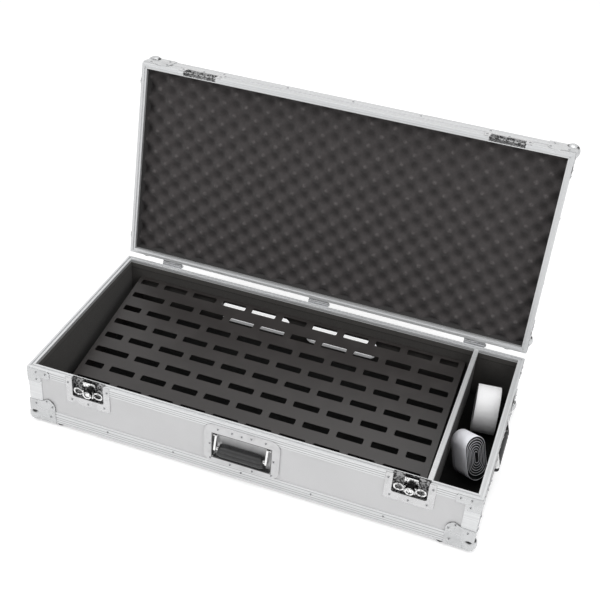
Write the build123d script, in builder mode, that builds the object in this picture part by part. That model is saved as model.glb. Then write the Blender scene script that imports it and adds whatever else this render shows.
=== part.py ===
"""Flight case for a guitar pedal board: a shallow base with a hinged lid, shown open.

Frame: X along the case, Y from the front to the back, Z up, in millimetres.  The origin
lies on the floor, at the middle of the space that the opened case takes.
"""

from build123d import *
from math import cos, hypot, radians, sin, tan
import os

# ---------------------------------------------------------------- driving dimensions
case_length = 960.0
case_depth = 458.0
base_height = 138.0
lid_height = 59.0
parting_gap = 0.4
foot_height = 8.0
foot_radius = 10.0
foot_taper = 1.0
foot_from_end = 64.0
foot_from_face = 13.0

# Boards, felt and foam
panel_thickness = 9.0
felt_thickness = 1.5
felt_band_extra = 0.5
felt_band_depth = 21.0
foam_thickness = 28.0
foam_gap = 0.3
foam_relief = 11.0
foam_peak_pitch = 52.0
foam_row_pitch = 24.5

# Aluminium extrusions
skin = 1.5
angle_width = 30.0
rim_width = 12.0
rim_leg = 20.0
rim_lip = 8.0
rim_web = 4.0
groove_width = 4.0
groove_depth = 2.5
tongue_width = 2.4
tongue_clearance = 0.4
mitre_gap = 0.1

# Corner hardware
ball_radius = 16.5
ball_inset = 9.0
ball_plate = 1.5
ball_reach = 58.0
ball_side = 38.0
ball_edge = 50.0
ball_lobe = 60.0
ball_lobe_in = 16.0
ball_neck = 28.0
ball_foot = 50.0
ball_foot_corner = 12.0
ball_poles = (0.62, -0.52, -0.587)
brace_plate = 1.2
brace_length = 50.0
brace_top = 3.0
brace_drop = 23.0
brace_leg_width = 28.0
brace_leg_drop = 38.0
brace_corner = 3.0

# Hinges
hinge_back = 6.6
hinge_up = 1.6
hinge_from_left = 112.0
hinge_from_right = 114.0
hinge_length = 48.0
hinge_knuckles = 3
hinge_knuckle_gap = 0.3
hinge_leaf = 30.0
hinge_leaf_thickness = 2.0
hinge_pin_radius = 2.0
hinge_head_radius = 3.4
hinge_head = 2.5
lid_open_angle = 100.6

# Divider beside the tape compartment
divider_from_end = 104.5
divider_thickness = 8.0
cap_thickness = 1.0
cap_drop = 12.0
cap_below_rim = 1.0

# Cable openings in the rear wall
cable_opening_width = 170.0
cable_opening_height = 52.0
cable_opening_above_case = 59.0
cable_opening_places = (-145.0, 67.5)
cable_opening_corner = 15.0

# Removable pedal plate
plate_from_left = 39.0
plate_from_divider = 13.5
plate_from_front = 27.0
plate_from_back = 1.5
plate_front_height = 21.5
plate_slope = 8.755
plate_thickness = 2.0
plate_rear_lip = 12.0
slot_length = 58.0
slot_width = 16.0
slot_corner = 2.0
slot_web = 17.0
slot_short_end = 42.0
slot_rows = 9
slot_row_pitch = 46.7
slot_field_from_left = 9.5
slot_row_from_back = 16.7

# Butterfly latches and their keepers
latch_from_end = 138.0
dish_width = 100.0
dish_height = 66.0
dish_corner = 6.0
pocket_width = 71.0
pocket_height = 47.0
pocket_corner = 5.0
pocket_depth = 9.4
pressing = 1.0
guide_width = 2.0
guide_length = 20.0
guide_height = 3.0
latch_axis_below_rim = 31.0
post_radius = 3.0
post_behind_face = 3.0
rotor_radius = 12.0
rotor_thickness = 2.5
rotor_behind_face = 4.4
neck_radius = 7.5
knob_radius = 9.2
knob_proud = 4.0
knob_thickness = 3.8
knob_dish_radius = 6.0
knob_dish = 1.4
ear_width = 3.4
ear_thickness = 2.3
ear_height = 4.2
wing_hinge = 10.5
wing_behind_face = 2.2
wing_pin_radius = 1.1
wing_reach = 33.0
wing_root = 13.0
wing_shoulder = 18.0
wing_crown = 24.0
wing_half_height = 9.0
wing_thickness = 1.6
wing_rim = 3.4
knuckle_radius = 2.0
knuckle_half = 5.6
hook_width = 27.0
hook_thickness = 2.0
hook_behind_rotor = 0.2
hook_top_below_rim = 4.0
hook_bottom_below_rim = 45.0
hook_slot_clearance = 0.3
hook_nose = 2.6
hook_nose_height = 3.0
keeper_height = 28.5
keeper_pocket_width = 74.0
keeper_pocket_height = 22.0
keeper_bar_above_lid = 1.1
keeper_bar_height = 3.0
keeper_bar_thickness = 2.4

# Recessed carrying handles
handle_width = 162.0
handle_height = 100.0
handle_corner = 20.0
handle_above_case = 78.0
handle_plate_thickness = 1.5
handle_from_centre = -1.0
tab_width = 52.0
tab_height = 14.0
tab_thickness = 0.8
recess_width = 126.0
recess_height = 64.0
recess_below_centre = 5.0
recess_corner = 4.0
pivot_above_centre = 20.0
pivot_behind_face = 3.0
pivot_radius = 2.5
arm_thickness = 4.0
arm_eye = 5.5
arm_foot = 6.0
arm_side_gap = 6.0
rod_radius = 4.0
grip_below_centre = 8.0
grip_outside = 3.5
grip_height = 34.0
grip_thickness = 25.0
grip_corner = 9.0
grip_end_gap = 1.0
grip_end_slope = 6.0
grip_groove_depth = 2.0
grip_groove_width = 3.0

# Hook-and-loop tape, each strip wound without a core
tape_width = 50.0
hook_tape = 1.6
hook_pitch = 2.2
hook_half_turns = 22
hook_radius = 26.2
hook_straight = 42.0
hook_droop = 5.0
hook_from_front = 188.0
hook_yaw = 42.0
hook_lean = 22.0
loop_tape = 2.3
loop_pitch = 3.0
loop_half_turns = 16
loop_radius = 53.5
loop_from_right = 50.6
loop_from_front = 342.0
loop_yaw = 6.2

running = 0.05
seat = 0.3

# ---------------------------------------------------------------- derived places
board = skin + panel_thickness
lined = board + felt_thickness
half_length = case_length / 2
hinge_from_front = case_depth + hinge_back
recess_outer_width = recess_width + 2 * pressing
recess_outer_height = recess_height + 2 * pressing

# How far the open lid's corners reach behind the hinge pin, and the grip before the front
grip_proud = grip_outside + grip_thickness / 2
open_turn = radians(lid_open_angle)
lid_top_above_hinge = parting_gap + lid_height - hinge_up
open_reach = ball_radius - (hinge_from_front - ball_inset) * cos(open_turn)
open_reach += (lid_top_above_hinge - ball_inset) * sin(open_turn)

front_y = (grip_proud - hinge_from_front - open_reach) / 2
back_y = front_y + case_depth
middle_y = (front_y + back_y) / 2
case_z = foot_height
floor_z = case_z + lined
rim_z = case_z + base_height
lid_z = rim_z + parting_gap
lid_top_z = lid_z + lid_height
hinge_y = front_y + hinge_from_front
hinge_z = rim_z + hinge_up
divider_x = half_length - divider_from_end
latch_from_centre = half_length - latch_from_end
hinge_places = (hinge_from_left - half_length, 0.0, half_length - hinge_from_right)

# The pedal plate reaches from the left end to a little before the divider
plate_left = plate_from_left - half_length
plate_right = divider_x - divider_thickness / 2 - plate_from_divider
plate_width = plate_right - plate_left

still = Location((0, 0, 0))
hinge_line = Location((0, hinge_y, hinge_z))
lid_swing = hinge_line * Location((0, 0, 0), (-lid_open_angle, 0, 0)) * hinge_line.inverse()
lid_plane = Plane(lid_swing)

os.makedirs("parts", exist_ok=True)


# ---------------------------------------------------------------- drawing aids
def placed(frame, plane):
    """The same plane after the move that a frame makes, such as the lid's swing."""
    return Plane(frame * plane.location)


def front_face(x, z):
    """Plane on the case's front: x to the right, y up, z outwards."""
    return Plane(origin=(x, front_y, z), x_dir=(1, 0, 0), z_dir=(0, -1, 0))


def end_face(side, y, z):
    """Plane on the right (1) or left (-1) end of the case: y up, z outwards."""
    return Plane(origin=(side * half_length, y, z), x_dir=(0, side, 0), z_dir=(side, 0, 0))


def across(face, x):
    """Plane square to a face at a place along it: x into the case, y up, z along the face."""
    return Plane(origin=face.from_local_coords((x, 0, 0)), x_dir=-face.z_dir, z_dir=face.x_dir)


def along_x(x, y, z):
    """Plane square to the case's length: x backwards, y up."""
    return Plane(origin=(x, y, z), x_dir=(0, 1, 0), z_dir=(1, 0, 0))


def block(x, y, z, mode=Mode.ADD):
    """Box between two limits along each axis."""
    with Locations((sum(x) / 2, sum(y) / 2, sum(z) / 2)):
        Box(x[1] - x[0], y[1] - y[0], z[1] - z[0], mode=mode)


def plate(plane, width, height, amount, corner=0.0, at=(0, 0), mode=Mode.ADD):
    """Rectangle on a plane, with rounded corners if they are given a radius, made thick."""
    with BuildSketch(plane) as shape:
        with Locations(at):
            if corner:
                RectangleRounded(width, height, corner)
            else:
                Rectangle(width, height)
    extrude(shape.sketch, amount=amount, mode=mode)


def disc(plane, radius, amount, at=(0, 0), mode=Mode.ADD):
    """Circle on a plane, made thick."""
    with BuildSketch(plane) as shape:
        with Locations(at):
            Circle(radius)
    extrude(shape.sketch, amount=amount, mode=mode)


def prism(plane, corners, amount, both=False, mode=Mode.ADD):
    """Straight-sided outline on a plane, made thick."""
    with BuildSketch(plane) as shape:
        with BuildLine():
            Polyline(*corners, close=True)
        make_face()
    extrude(shape.sketch, amount=amount, both=both, mode=mode)


def finish(name, part):
    """Labels a finished piece and writes it."""
    part.label = name
    export_step(part, f"parts/{name}.step")


# ---------------------------------------------------------------- extruded frames
groove_edge = (rim_width - groove_width) / 2
base_rim_section = (
    (0, -rim_leg),
    (0, 0),
    (groove_edge, 0),
    (groove_edge, -groove_depth),
    (rim_width - groove_edge, -groove_depth),
    (rim_width - groove_edge, 0),
    (rim_width, 0),
    (rim_width, -rim_lip),
    (board, -rim_lip),
    (board, -rim_web),
    (skin, -rim_web),
    (skin, -rim_leg),
)

tongue_edge = (rim_width - tongue_width) / 2
tongue_reach = groove_depth - tongue_clearance + parting_gap
lid_rim_section = (
    (0, rim_leg),
    (0, 0),
    (tongue_edge, 0),
    (tongue_edge, -tongue_reach),
    (rim_width - tongue_edge, -tongue_reach),
    (rim_width - tongue_edge, 0),
    (rim_width, 0),
    (rim_width, rim_lip),
    (board, rim_lip),
    (board, rim_web),
    (skin, rim_web),
    (skin, rim_leg),
)


def angle_section(up):
    """Section of an edge angle whose upright leg stands up (1) or hangs down (-1)."""
    return (
        (0, 0),
        (angle_width, 0),
        (angle_width, up * skin),
        (skin, up * skin),
        (skin, up * angle_width),
        (0, up * angle_width),
    )


def mitred_frame(section, frame, corner_z):
    """Four lengths of one extrusion right round the case, mitred where they meet.

    The section's points are (inwards from the case's face, upwards from corner_z).
    """
    sides = (
        ((0, front_y), (0, 1), case_length),
        ((half_length, middle_y), (-1, 0), case_depth),
        ((0, back_y), (0, -1), case_length),
        ((-half_length, middle_y), (1, 0), case_depth),
    )
    lengths = []
    for (x, y), (inward_x, inward_y), length in sides:
        along_side = (inward_y, -inward_x)
        plane = Plane(origin=(x, y, corner_z), x_dir=(inward_x, inward_y, 0), z_dir=(*along_side, 0))
        with BuildPart() as bar:
            prism(placed(frame, plane), section, length / 2, both=True)
            for end in (1, -1):
                reach = end * (length / 2 - mitre_gap)
                mitre = Plane(
                    origin=(x + along_side[0] * reach, y + along_side[1] * reach, corner_z),
                    z_dir=(inward_x + end * along_side[0], inward_y + end * along_side[1], 0),
                )
                split(bisect_by=placed(frame, mitre), keep=Keep.BOTTOM)
        lengths.append(bar.part)
    return lengths


def notch_rim(frame, corner_z, up, pocket):
    """Cuts the front rim for both latches: its leg for the flange, its web for the pocket."""
    for x in (-latch_from_centre, latch_from_centre):
        face = placed(frame, front_face(x, corner_z + up * rim_leg / 2)).offset(seat)
        plate(face, dish_width + 2 * seat, 2 * rim_leg, -(skin + seat), mode=Mode.SUBTRACT)
        opening = pocket + 2 * pressing + 2 * seat
        plate(face, opening, 2 * rim_leg, -(board + seat), mode=Mode.SUBTRACT)


lengths = mitred_frame(base_rim_section, still, rim_z)
with BuildPart() as base_rim_profiles:
    add(lengths)
    notch_rim(still, rim_z, -1, pocket_width)
finish("base_rim_profiles", base_rim_profiles.part)

lengths = mitred_frame(lid_rim_section, lid_swing, lid_z)
with BuildPart() as lid_rim_profiles:
    add(lengths)
    notch_rim(lid_swing, lid_z, 1, keeper_pocket_width)
finish("lid_rim_profiles", lid_rim_profiles.part)

lengths = mitred_frame(angle_section(1), still, case_z)
with BuildPart() as base_edge_angles:
    add(lengths)
finish("base_edge_angles", base_edge_angles.part)

lengths = mitred_frame(angle_section(-1), lid_swing, lid_top_z)
with BuildPart() as lid_edge_angles:
    add(lengths)
finish("lid_edge_angles", lid_edge_angles.part)


def case_corners(z):
    """The case's four upright edges, each as a place whose x and y run along the two faces."""
    ends = ((-1, -1, 0), (1, -1, 90), (1, 1, 180), (-1, 1, 270))
    return [
        Location((side * half_length, middle_y + back * case_depth / 2, z), (0, 0, turn))
        for side, back, turn in ends
    ]


def corner_angles(frame, low, high):
    """Four upright angles, one at each upright edge of the case."""
    section = (
        (0, 0),
        (angle_width, 0),
        (angle_width, skin),
        (skin, skin),
        (skin, angle_width),
        (0, angle_width),
    )
    with BuildPart() as angles:
        for corner in case_corners(low):
            prism(placed(frame, Plane(corner)), section, high - low)
    return angles.part


base_corner_angles = corner_angles(still, case_z + angle_width, rim_z - rim_leg)
finish("base_corner_angles", base_corner_angles)

lid_corner_angles = corner_angles(lid_swing, lid_z + rim_leg, lid_top_z - angle_width)
finish("lid_corner_angles", lid_corner_angles)


# ---------------------------------------------------------------- corner hardware
def ball_leg(plane):
    """One leg of a ball corner: x along the case's edge, y away from it, thick along z.

    It reaches a plate's thickness past the edge, so that legs and foot meet in a fold.
    """
    with BuildSketch(plane) as leg:
        with BuildLine():
            fold = -ball_plate
            Polyline((fold, ball_edge), (fold, fold), (ball_reach, fold), (ball_reach, ball_side))
            crown = (ball_reach - ball_lobe_in, ball_lobe)
            side_top = (ball_reach, ball_side)
            shoulder = (ball_reach - ball_lobe_in / 4, (ball_side + 2 * ball_lobe) / 3)
            ThreePointArc(side_top, shoulder, crown)
            Polyline(crown, (ball_neck, ball_lobe - ball_lobe_in / 2), (fold, ball_edge))
        make_face()
    extrude(leg.sketch, amount=ball_plate)


# The ball's axis is turned so that both of its poles lie inside the plates
with BuildPart() as ball_corner:
    ball_leg(Plane(origin=(0, 0, 0), x_dir=(1, 0, 0), z_dir=(0, -1, 0)))
    mirror(about=Plane(origin=(0, 0, 0), z_dir=(1, -1, 0)))
    with BuildSketch() as foot:
        with Locations(((ball_foot - ball_plate) / 2,) * 2):
            Rectangle(ball_foot + ball_plate, ball_foot + ball_plate)
        fillet(foot.vertices().sort_by(Axis((0, 0, 0), (1, 1, 0)))[-1], radius=ball_foot_corner)
    extrude(foot.sketch, amount=-ball_plate)
    with Locations(Plane(origin=(ball_inset, ball_inset, ball_inset), z_dir=ball_poles).location):
        Sphere(ball_radius)
    block((0, 2 * ball_reach), (0, 2 * ball_reach), (0, 2 * ball_reach), mode=Mode.SUBTRACT)

with BuildPart() as base_ball_corners:
    for corner in case_corners(case_z):
        add(ball_corner.part.moved(corner))
finish("base_ball_corners", base_ball_corners.part)

upside_down = Plane(origin=(0, 0, 0), x_dir=(0, 1, 0), z_dir=(0, 0, -1)).location
with BuildPart() as lid_ball_corners:
    for corner in case_corners(lid_top_z):
        add(ball_corner.part.moved(lid_swing * corner * upside_down))
finish("lid_ball_corners", lid_ball_corners.part)


def brace_leg(plane):
    """One leg of a corner brace, hanging below the rim: x along the rim, y up."""
    corners = (
        (-brace_plate, -brace_top),
        (brace_length, -brace_top),
        (brace_length, -brace_drop),
        (brace_leg_width, -brace_drop),
        (brace_leg_width, -brace_leg_drop),
        (-brace_plate, -brace_leg_drop),
    )
    with BuildSketch(plane) as leg:
        with BuildLine():
            Polyline(*corners, close=True)
        make_face()
        chamfer(leg.vertices().filter_by_position(Axis.X, 0, brace_length), length=brace_corner)
    extrude(leg.sketch, amount=brace_plate)


with BuildPart() as corner_brace:
    brace_leg(Plane(origin=(0, 0, 0), x_dir=(1, 0, 0), z_dir=(0, -1, 0)))
    mirror(about=Plane(origin=(0, 0, 0), z_dir=(1, -1, 0)))

with BuildPart() as base_corner_braces:
    for corner in case_corners(rim_z):
        add(corner_brace.part.moved(corner))
finish("base_corner_braces", base_corner_braces.part)

foot_x = half_length - foot_from_end
foot_y = case_depth / 2 - foot_from_face
with BuildPart() as base_feet:
    with Locations((0, middle_y, foot_height / 2)):
        with GridLocations(2 * foot_x, 2 * foot_y, 2, 2):
            Cone(foot_radius - foot_taper, foot_radius, foot_height)
finish("base_feet", base_feet.part)


# ---------------------------------------------------------------- base boards
board_low = case_z + board
board_top = rim_z - rim_web
inside_x = half_length - board
length_x = (skin - half_length, half_length - skin)


def handle_hole(face):
    """Opening through a board for the pan of a recessed handle."""
    width = recess_outer_width + 2 * seat
    height = recess_outer_height + 2 * seat
    at = (0, -recess_below_centre)
    plate(face.offset(seat), width, height, -(board + 2 * seat), recess_corner, at, Mode.SUBTRACT)


front_handle = front_face(handle_from_centre, case_z + handle_above_case)
left_handle = end_face(-1, middle_y, case_z + handle_above_case)
right_handle = end_face(1, middle_y, case_z + handle_above_case)

with BuildPart() as base_floor_panel:
    block(length_x, (front_y + skin, back_y - skin), (case_z + skin, board_low))
finish("base_floor_panel", base_floor_panel.part)

with BuildPart() as base_front_panel:
    block(length_x, (front_y + skin, front_y + board), (board_low, board_top))
    handle_hole(front_handle)
    for x in (-latch_from_centre, latch_from_centre):
        width = pocket_width + 2 * pressing + 2 * seat
        height = pocket_height + pressing + seat
        face = front_face(x, rim_z).offset(seat)
        plate(face, width, height, -(board + 2 * seat), at=(0, -height / 2), mode=Mode.SUBTRACT)
finish("base_front_panel", base_front_panel.part)


def cable_openings(thickness):
    """The two cable openings, cut through what stands at the back of the base."""
    for x in cable_opening_places:
        place = Plane(
            origin=(x, back_y, case_z + cable_opening_above_case),
            x_dir=(-1, 0, 0),
            z_dir=(0, 1, 0),
        )
        width = cable_opening_width
        height = cable_opening_height
        plate(place, width, height, -thickness, cable_opening_corner, mode=Mode.SUBTRACT)


with BuildPart() as base_rear_panel:
    block(length_x, (back_y - board, back_y - skin), (board_low, board_top))
    cable_openings(lined + seat)
finish("base_rear_panel", base_rear_panel.part)

for name, side, handle in (("left", -1, left_handle), ("right", 1, right_handle)):
    with BuildPart() as base_end_panel:
        x = sorted((side * (half_length - skin), side * inside_x))
        block(x, (front_y + board, back_y - board), (board_low, board_top))
        handle_hole(handle)
    finish(f"base_{name}_panel", base_end_panel.part)

# ---------------------------------------------------------------- felt and divider
band_low = rim_z - felt_band_depth
band_high = rim_z - rim_lip
cap_width = divider_thickness + 2 * cap_thickness
cap_top = rim_z - cap_below_rim
divider_y = (front_y + lined, back_y - lined)

with BuildPart() as base_lining:
    block((-inside_x, inside_x), (front_y + board, back_y - board), (board_low, band_high))
    banded = lined + felt_band_extra
    for inset, low, high in ((lined, floor_z, band_low), (banded, band_low, rim_z)):
        x = (inset - half_length, half_length - inset)
        block(x, (front_y + inset, back_y - inset), (low, high), mode=Mode.SUBTRACT)
    cable_openings(banded + seat)
    cap_room = cap_width / 2 + seat
    x = (divider_x - cap_room, divider_x + cap_room)
    block(x, divider_y, (band_low, rim_z), mode=Mode.SUBTRACT)
finish("base_lining", base_lining.part)

with BuildPart() as divider_panel:
    x = (divider_x - divider_thickness / 2, divider_x + divider_thickness / 2)
    block(x, divider_y, (floor_z, cap_top - cap_thickness))
finish("divider_panel", divider_panel.part)

with BuildPart() as divider_cap:
    x = (divider_x - cap_width / 2, divider_x + cap_width / 2)
    block(x, divider_y, (cap_top - cap_drop, cap_top))
    x = (divider_x - divider_thickness / 2, divider_x + divider_thickness / 2)
    block(x, divider_y, (floor_z, cap_top - cap_thickness), mode=Mode.SUBTRACT)
finish("divider_cap", divider_cap.part)

# ---------------------------------------------------------------- pedal plate
plate_x = (plate_left, plate_right)
plate_y = (front_y + plate_from_front, back_y - lined - plate_from_back)
slope = radians(plate_slope)
plate_rise = (plate_y[1] - plate_y[0]) * tan(slope)
plate_front_z = floor_z + plate_front_height
plate_rear_z = plate_front_z + plate_rise
sheet_drop = plate_thickness / cos(slope)


def slot_row(plane, lengths):
    """One row of slots through the sloping sheet, from the left end of the slot field."""
    with BuildSketch(plane) as row_of_slots:
        left = 0.0
        for length in lengths:
            with Locations((left + length / 2, 0)):
                Rectangle(length, slot_width)
            left += length + slot_web
        chamfer(row_of_slots.vertices(), length=slot_corner)
    extrude(row_of_slots.sketch, amount=-2 * plate_thickness, mode=Mode.SUBTRACT)


with BuildPart() as pedal_plate:
    profile = (
        (plate_y[0], floor_z),
        (plate_y[0], plate_front_z),
        (plate_y[1], plate_rear_z),
        (plate_y[1], plate_rear_z - plate_rear_lip),
        (plate_y[1] - plate_thickness, plate_rear_z - plate_rear_lip),
        (plate_y[1] - plate_thickness, plate_rear_z - sheet_drop - plate_thickness * tan(slope)),
        (plate_y[0] + plate_thickness, plate_front_z - sheet_drop + plate_thickness * tan(slope)),
        (plate_y[0] + plate_thickness, floor_z),
    )
    prism(along_x(plate_x[0], 0, 0), profile, plate_width)
    cheek = (
        (plate_y[0], floor_z),
        (plate_y[0], plate_front_z),
        (plate_y[1], plate_rear_z),
        (plate_y[1], floor_z),
    )
    for x in (plate_x[0], plate_x[1] - plate_thickness):
        prism(along_x(x, 0, 0), cheek, plate_thickness)
    slots_per_row = round((plate_width - 2 * slot_short_end) / (slot_length + slot_web)) - 1
    slot_field = 2 * slot_short_end + slots_per_row * slot_length + (slots_per_row + 1) * slot_web
    slot_long_end = (slot_field - (slots_per_row - 1) * slot_length - slots_per_row * slot_web) / 2
    for row in range(slot_rows):
        down = slot_row_from_back + row * slot_row_pitch
        row_plane = Plane(
            origin=(
                plate_x[0] + slot_field_from_left,
                plate_y[1] - down * cos(slope),
                plate_rear_z - down * sin(slope),
            ),
            x_dir=(1, 0, 0),
            z_dir=(0, -sin(slope), cos(slope)),
        )
        if row % 2:
            slot_row(row_plane, (slot_long_end, *(slots_per_row - 1) * (slot_length,), slot_long_end))
        else:
            slot_row(row_plane, (slot_short_end, *slots_per_row * (slot_length,), slot_short_end))
finish("pedal_plate", pedal_plate.part)

# ---------------------------------------------------------------- lid boards and foam
lid_board_top = lid_top_z - board
lid_board_low = lid_z + rim_web

with BuildPart(lid_plane) as lid_top_panel:
    block(length_x, (front_y + skin, back_y - skin), (lid_board_top, lid_top_z - skin))
finish("lid_top_panel", lid_top_panel.part)

with BuildPart(lid_plane) as lid_front_panel:
    block(length_x, (front_y + skin, front_y + board), (lid_board_low, lid_board_top))
    for x in (-latch_from_centre, latch_from_centre):
        half_width = keeper_pocket_width / 2 + pressing + seat
        height = keeper_pocket_height + pressing + seat
        room = (x - half_width, x + half_width)
        block(room, (front_y, front_y + board + seat), (lid_z, lid_z + height), Mode.SUBTRACT)
finish("lid_front_panel", lid_front_panel.part)

with BuildPart(lid_plane) as lid_rear_panel:
    block(length_x, (back_y - board, back_y - skin), (lid_board_low, lid_board_top))
finish("lid_rear_panel", lid_rear_panel.part)

for name, side in (("left", -1), ("right", 1)):
    with BuildPart(lid_plane) as lid_end_panel:
        x = sorted((side * (half_length - skin), side * inside_x))
        block(x, (front_y + board, back_y - board), (lid_board_low, lid_board_top))
    finish(f"lid_{name}_panel", lid_end_panel.part)

foam_inset = board + foam_gap
foam_z = (lid_board_top - foam_thickness, lid_board_top)


def foam_furrows(side):
    """Furrows across the foam that run slantwise, to the right (1) or left (-1), between peaks.

    The peaks of alternate rows are staggered, so where both sets of furrows cross, they leave
    one pyramid at each peak.
    """
    stagger = foam_peak_pitch / 2
    slant = hypot(stagger, foam_row_pitch)
    across_rows = foam_row_pitch / slant
    along_rows = stagger / slant
    pitch = foam_peak_pitch * across_rows
    reach = (case_length * across_rows + case_depth * along_rows) / 2
    teeth = int(reach / pitch) + 1
    profile = [(-(teeth + 0.5) * pitch, 0)]
    for tooth in range(-teeth, teeth + 1):
        profile.append(((tooth - 0.5) * pitch, foam_thickness - foam_relief))
        profile.append((tooth * pitch, foam_thickness))
    profile.append(((teeth + 0.5) * pitch, foam_thickness - foam_relief))
    profile.append(((teeth + 0.5) * pitch, 0))
    plane = Plane(
        origin=(0, middle_y, lid_board_top),
        x_dir=(side * across_rows, -along_rows, 0),
        z_dir=(along_rows, side * across_rows, 0),
    )
    prism(placed(lid_swing, plane), profile, case_length, both=True, mode=Mode.INTERSECT)


with BuildPart(lid_plane) as lid_foam:
    x = (foam_inset - half_length, half_length - foam_inset)
    block(x, (front_y + foam_inset, back_y - foam_inset), foam_z)
    foam_furrows(1)
    foam_furrows(-1)
finish("lid_foam", lid_foam.part)

# ---------------------------------------------------------------- hinges
barrel_radius = hinge_back - hinge_leaf_thickness - seat
knuckle_pitch = hinge_length / hinge_knuckles


def hinge_leaves(frame, up, leaf_edge, first_knuckle):
    """The leaves of all hinges that stand above (up 1) or hang below (up -1) their pins.

    Each starts level with its own rim, leaf_edge from the pin, and turns in to its knuckles.
    """
    with BuildPart() as leaves:
        for x in hinge_places:
            end = along_x(x - hinge_length / 2, hinge_y, hinge_z)
            face = -hinge_back
            leaf = (
                (face, leaf_edge),
                (face + hinge_leaf_thickness, leaf_edge),
                (face + hinge_leaf_thickness, up * hinge_leaf),
                (face, up * hinge_leaf),
            )
            prism(placed(frame, end), leaf, hinge_length)
            web = ((face, leaf_edge), (0, leaf_edge), (0, up * barrel_radius), (face, up * barrel_radius))
            for knuckle in range(first_knuckle, hinge_knuckles, 2):
                start = end.offset(knuckle * knuckle_pitch + hinge_knuckle_gap / 2)
                width = knuckle_pitch - hinge_knuckle_gap
                prism(placed(frame, start), web, width)
                disc(placed(frame, start), barrel_radius, width)
            bore = hinge_pin_radius + running
            disc(placed(frame, end), bore, hinge_length, mode=Mode.SUBTRACT)
    return leaves.part


hinge_base_leaves = hinge_leaves(still, -1, -hinge_up, 0)
finish("hinge_base_leaves", hinge_base_leaves)

hinge_lid_leaves = hinge_leaves(lid_swing, 1, parting_gap - hinge_up, 1)
finish("hinge_lid_leaves", hinge_lid_leaves)

with BuildPart() as hinge_pins:
    for x in hinge_places:
        right_end = along_x(x + hinge_length / 2, hinge_y, hinge_z)
        disc(right_end, hinge_pin_radius, -hinge_length)
        disc(right_end, hinge_head_radius, hinge_head)
finish("hinge_pins", hinge_pins.part)

# ---------------------------------------------------------------- latches
pocket_outer = pocket_width + 2 * pressing
rotor_back = rotor_behind_face + rotor_thickness
hook_front = rotor_back + hook_behind_rotor
hook_back = hook_front + hook_thickness
ear_middle = knuckle_half + seat + ear_thickness / 2


def latch_dish(face):
    """Pressed dish let into the front: flange, open-topped pocket, post and hook guides.

    The face's origin is on the rim's top edge, above the latch's middle.
    """
    with BuildPart() as dish:
        with BuildSketch(face.offset(-skin)) as flange:
            height = dish_height - seat
            with Locations((0, -seat - height / 2)):
                Rectangle(dish_width, height)
            fillet(flange.vertices().sort_by(Axis.Y)[:2], radius=dish_corner)
        extrude(flange.sketch, amount=skin)
        height = pocket_height + pressing - seat
        at = (0, -seat - height / 2)
        plate(face.offset(-skin), pocket_outer, height, skin - pocket_depth - pressing, at=at)
        with BuildSketch(face.offset(seat)) as pocket:
            with Locations((0, -pocket_height / 2)):
                Rectangle(pocket_width, pocket_height)
            fillet(pocket.vertices().sort_by(Axis.Y)[:2], radius=pocket_corner)
        extrude(pocket.sketch, amount=-(pocket_depth + seat), mode=Mode.SUBTRACT)
        back = face.offset(-pocket_depth)
        disc(back, post_radius, pocket_depth - post_behind_face, at=(0, -latch_axis_below_rim))
        for side in (-1, 1):
            at = (side * (hook_width / 2 + seat + guide_width / 2), -guide_length)
            plate(back, guide_width, guide_length, guide_height, at=at)
    return dish.part


def latch_rotor(face):
    """Turning knob of a latch: disc, neck and dished head, with ears and pins for two wings.

    The face's origin is on the latch's turning axis.
    """
    with BuildPart() as rotor:
        disc(face.offset(-rotor_back), rotor_radius, rotor_thickness)
        disc(face.offset(-rotor_behind_face), neck_radius, rotor_behind_face + knob_proud)
        disc(face.offset(knob_proud - knob_thickness), knob_radius, knob_thickness)
        disc(face.offset(knob_proud), knob_dish_radius, -knob_dish, mode=Mode.SUBTRACT)
        pin_half = ear_middle + ear_thickness / 2
        for side in (-1, 1):
            for level in (-1, 1):
                at = (side * wing_hinge, level * ear_middle)
                plate(face.offset(-rotor_behind_face), ear_width, ear_thickness, ear_height, at=at)
            foot = face.from_local_coords((side * wing_hinge, -pin_half, -wing_behind_face))
            disc(Plane(origin=foot, x_dir=face.x_dir, z_dir=face.y_dir), wing_pin_radius, 2 * pin_half)
        depth = rotor_back - post_behind_face + 2 * running
        disc(face.offset(-rotor_back), post_radius + running, depth, mode=Mode.SUBTRACT)
    return rotor.part


def latch_wing(face, side):
    """Folding D-shaped wing of a latch, to the left (-1) or right (1) of its knob."""
    upper = (
        (side * wing_crown, wing_half_height),
        (side * wing_shoulder, wing_half_height),
        (side * wing_root, knuckle_half),
        (side * wing_hinge, knuckle_half),
    )
    lower = [(x, -y) for x, y in reversed(upper)]
    with BuildPart() as wing:
        with BuildSketch(face.offset(-wing_behind_face - wing_thickness / 2)) as outline:
            with BuildLine():
                Polyline(*upper, *lower)
                ThreePointArc(lower[-1], (side * wing_reach, 0), upper[0])
            make_face()
            offset(amount=-wing_rim, mode=Mode.SUBTRACT)
        extrude(outline.sketch, amount=wing_thickness)
        foot = face.from_local_coords((side * wing_hinge, -knuckle_half, -wing_behind_face))
        knuckle = Plane(origin=foot, x_dir=face.x_dir, z_dir=face.y_dir)
        disc(knuckle, knuckle_radius, 2 * knuckle_half)
        disc(knuckle, wing_pin_radius + running, 2 * knuckle_half, mode=Mode.SUBTRACT)
    return wing.part


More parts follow.
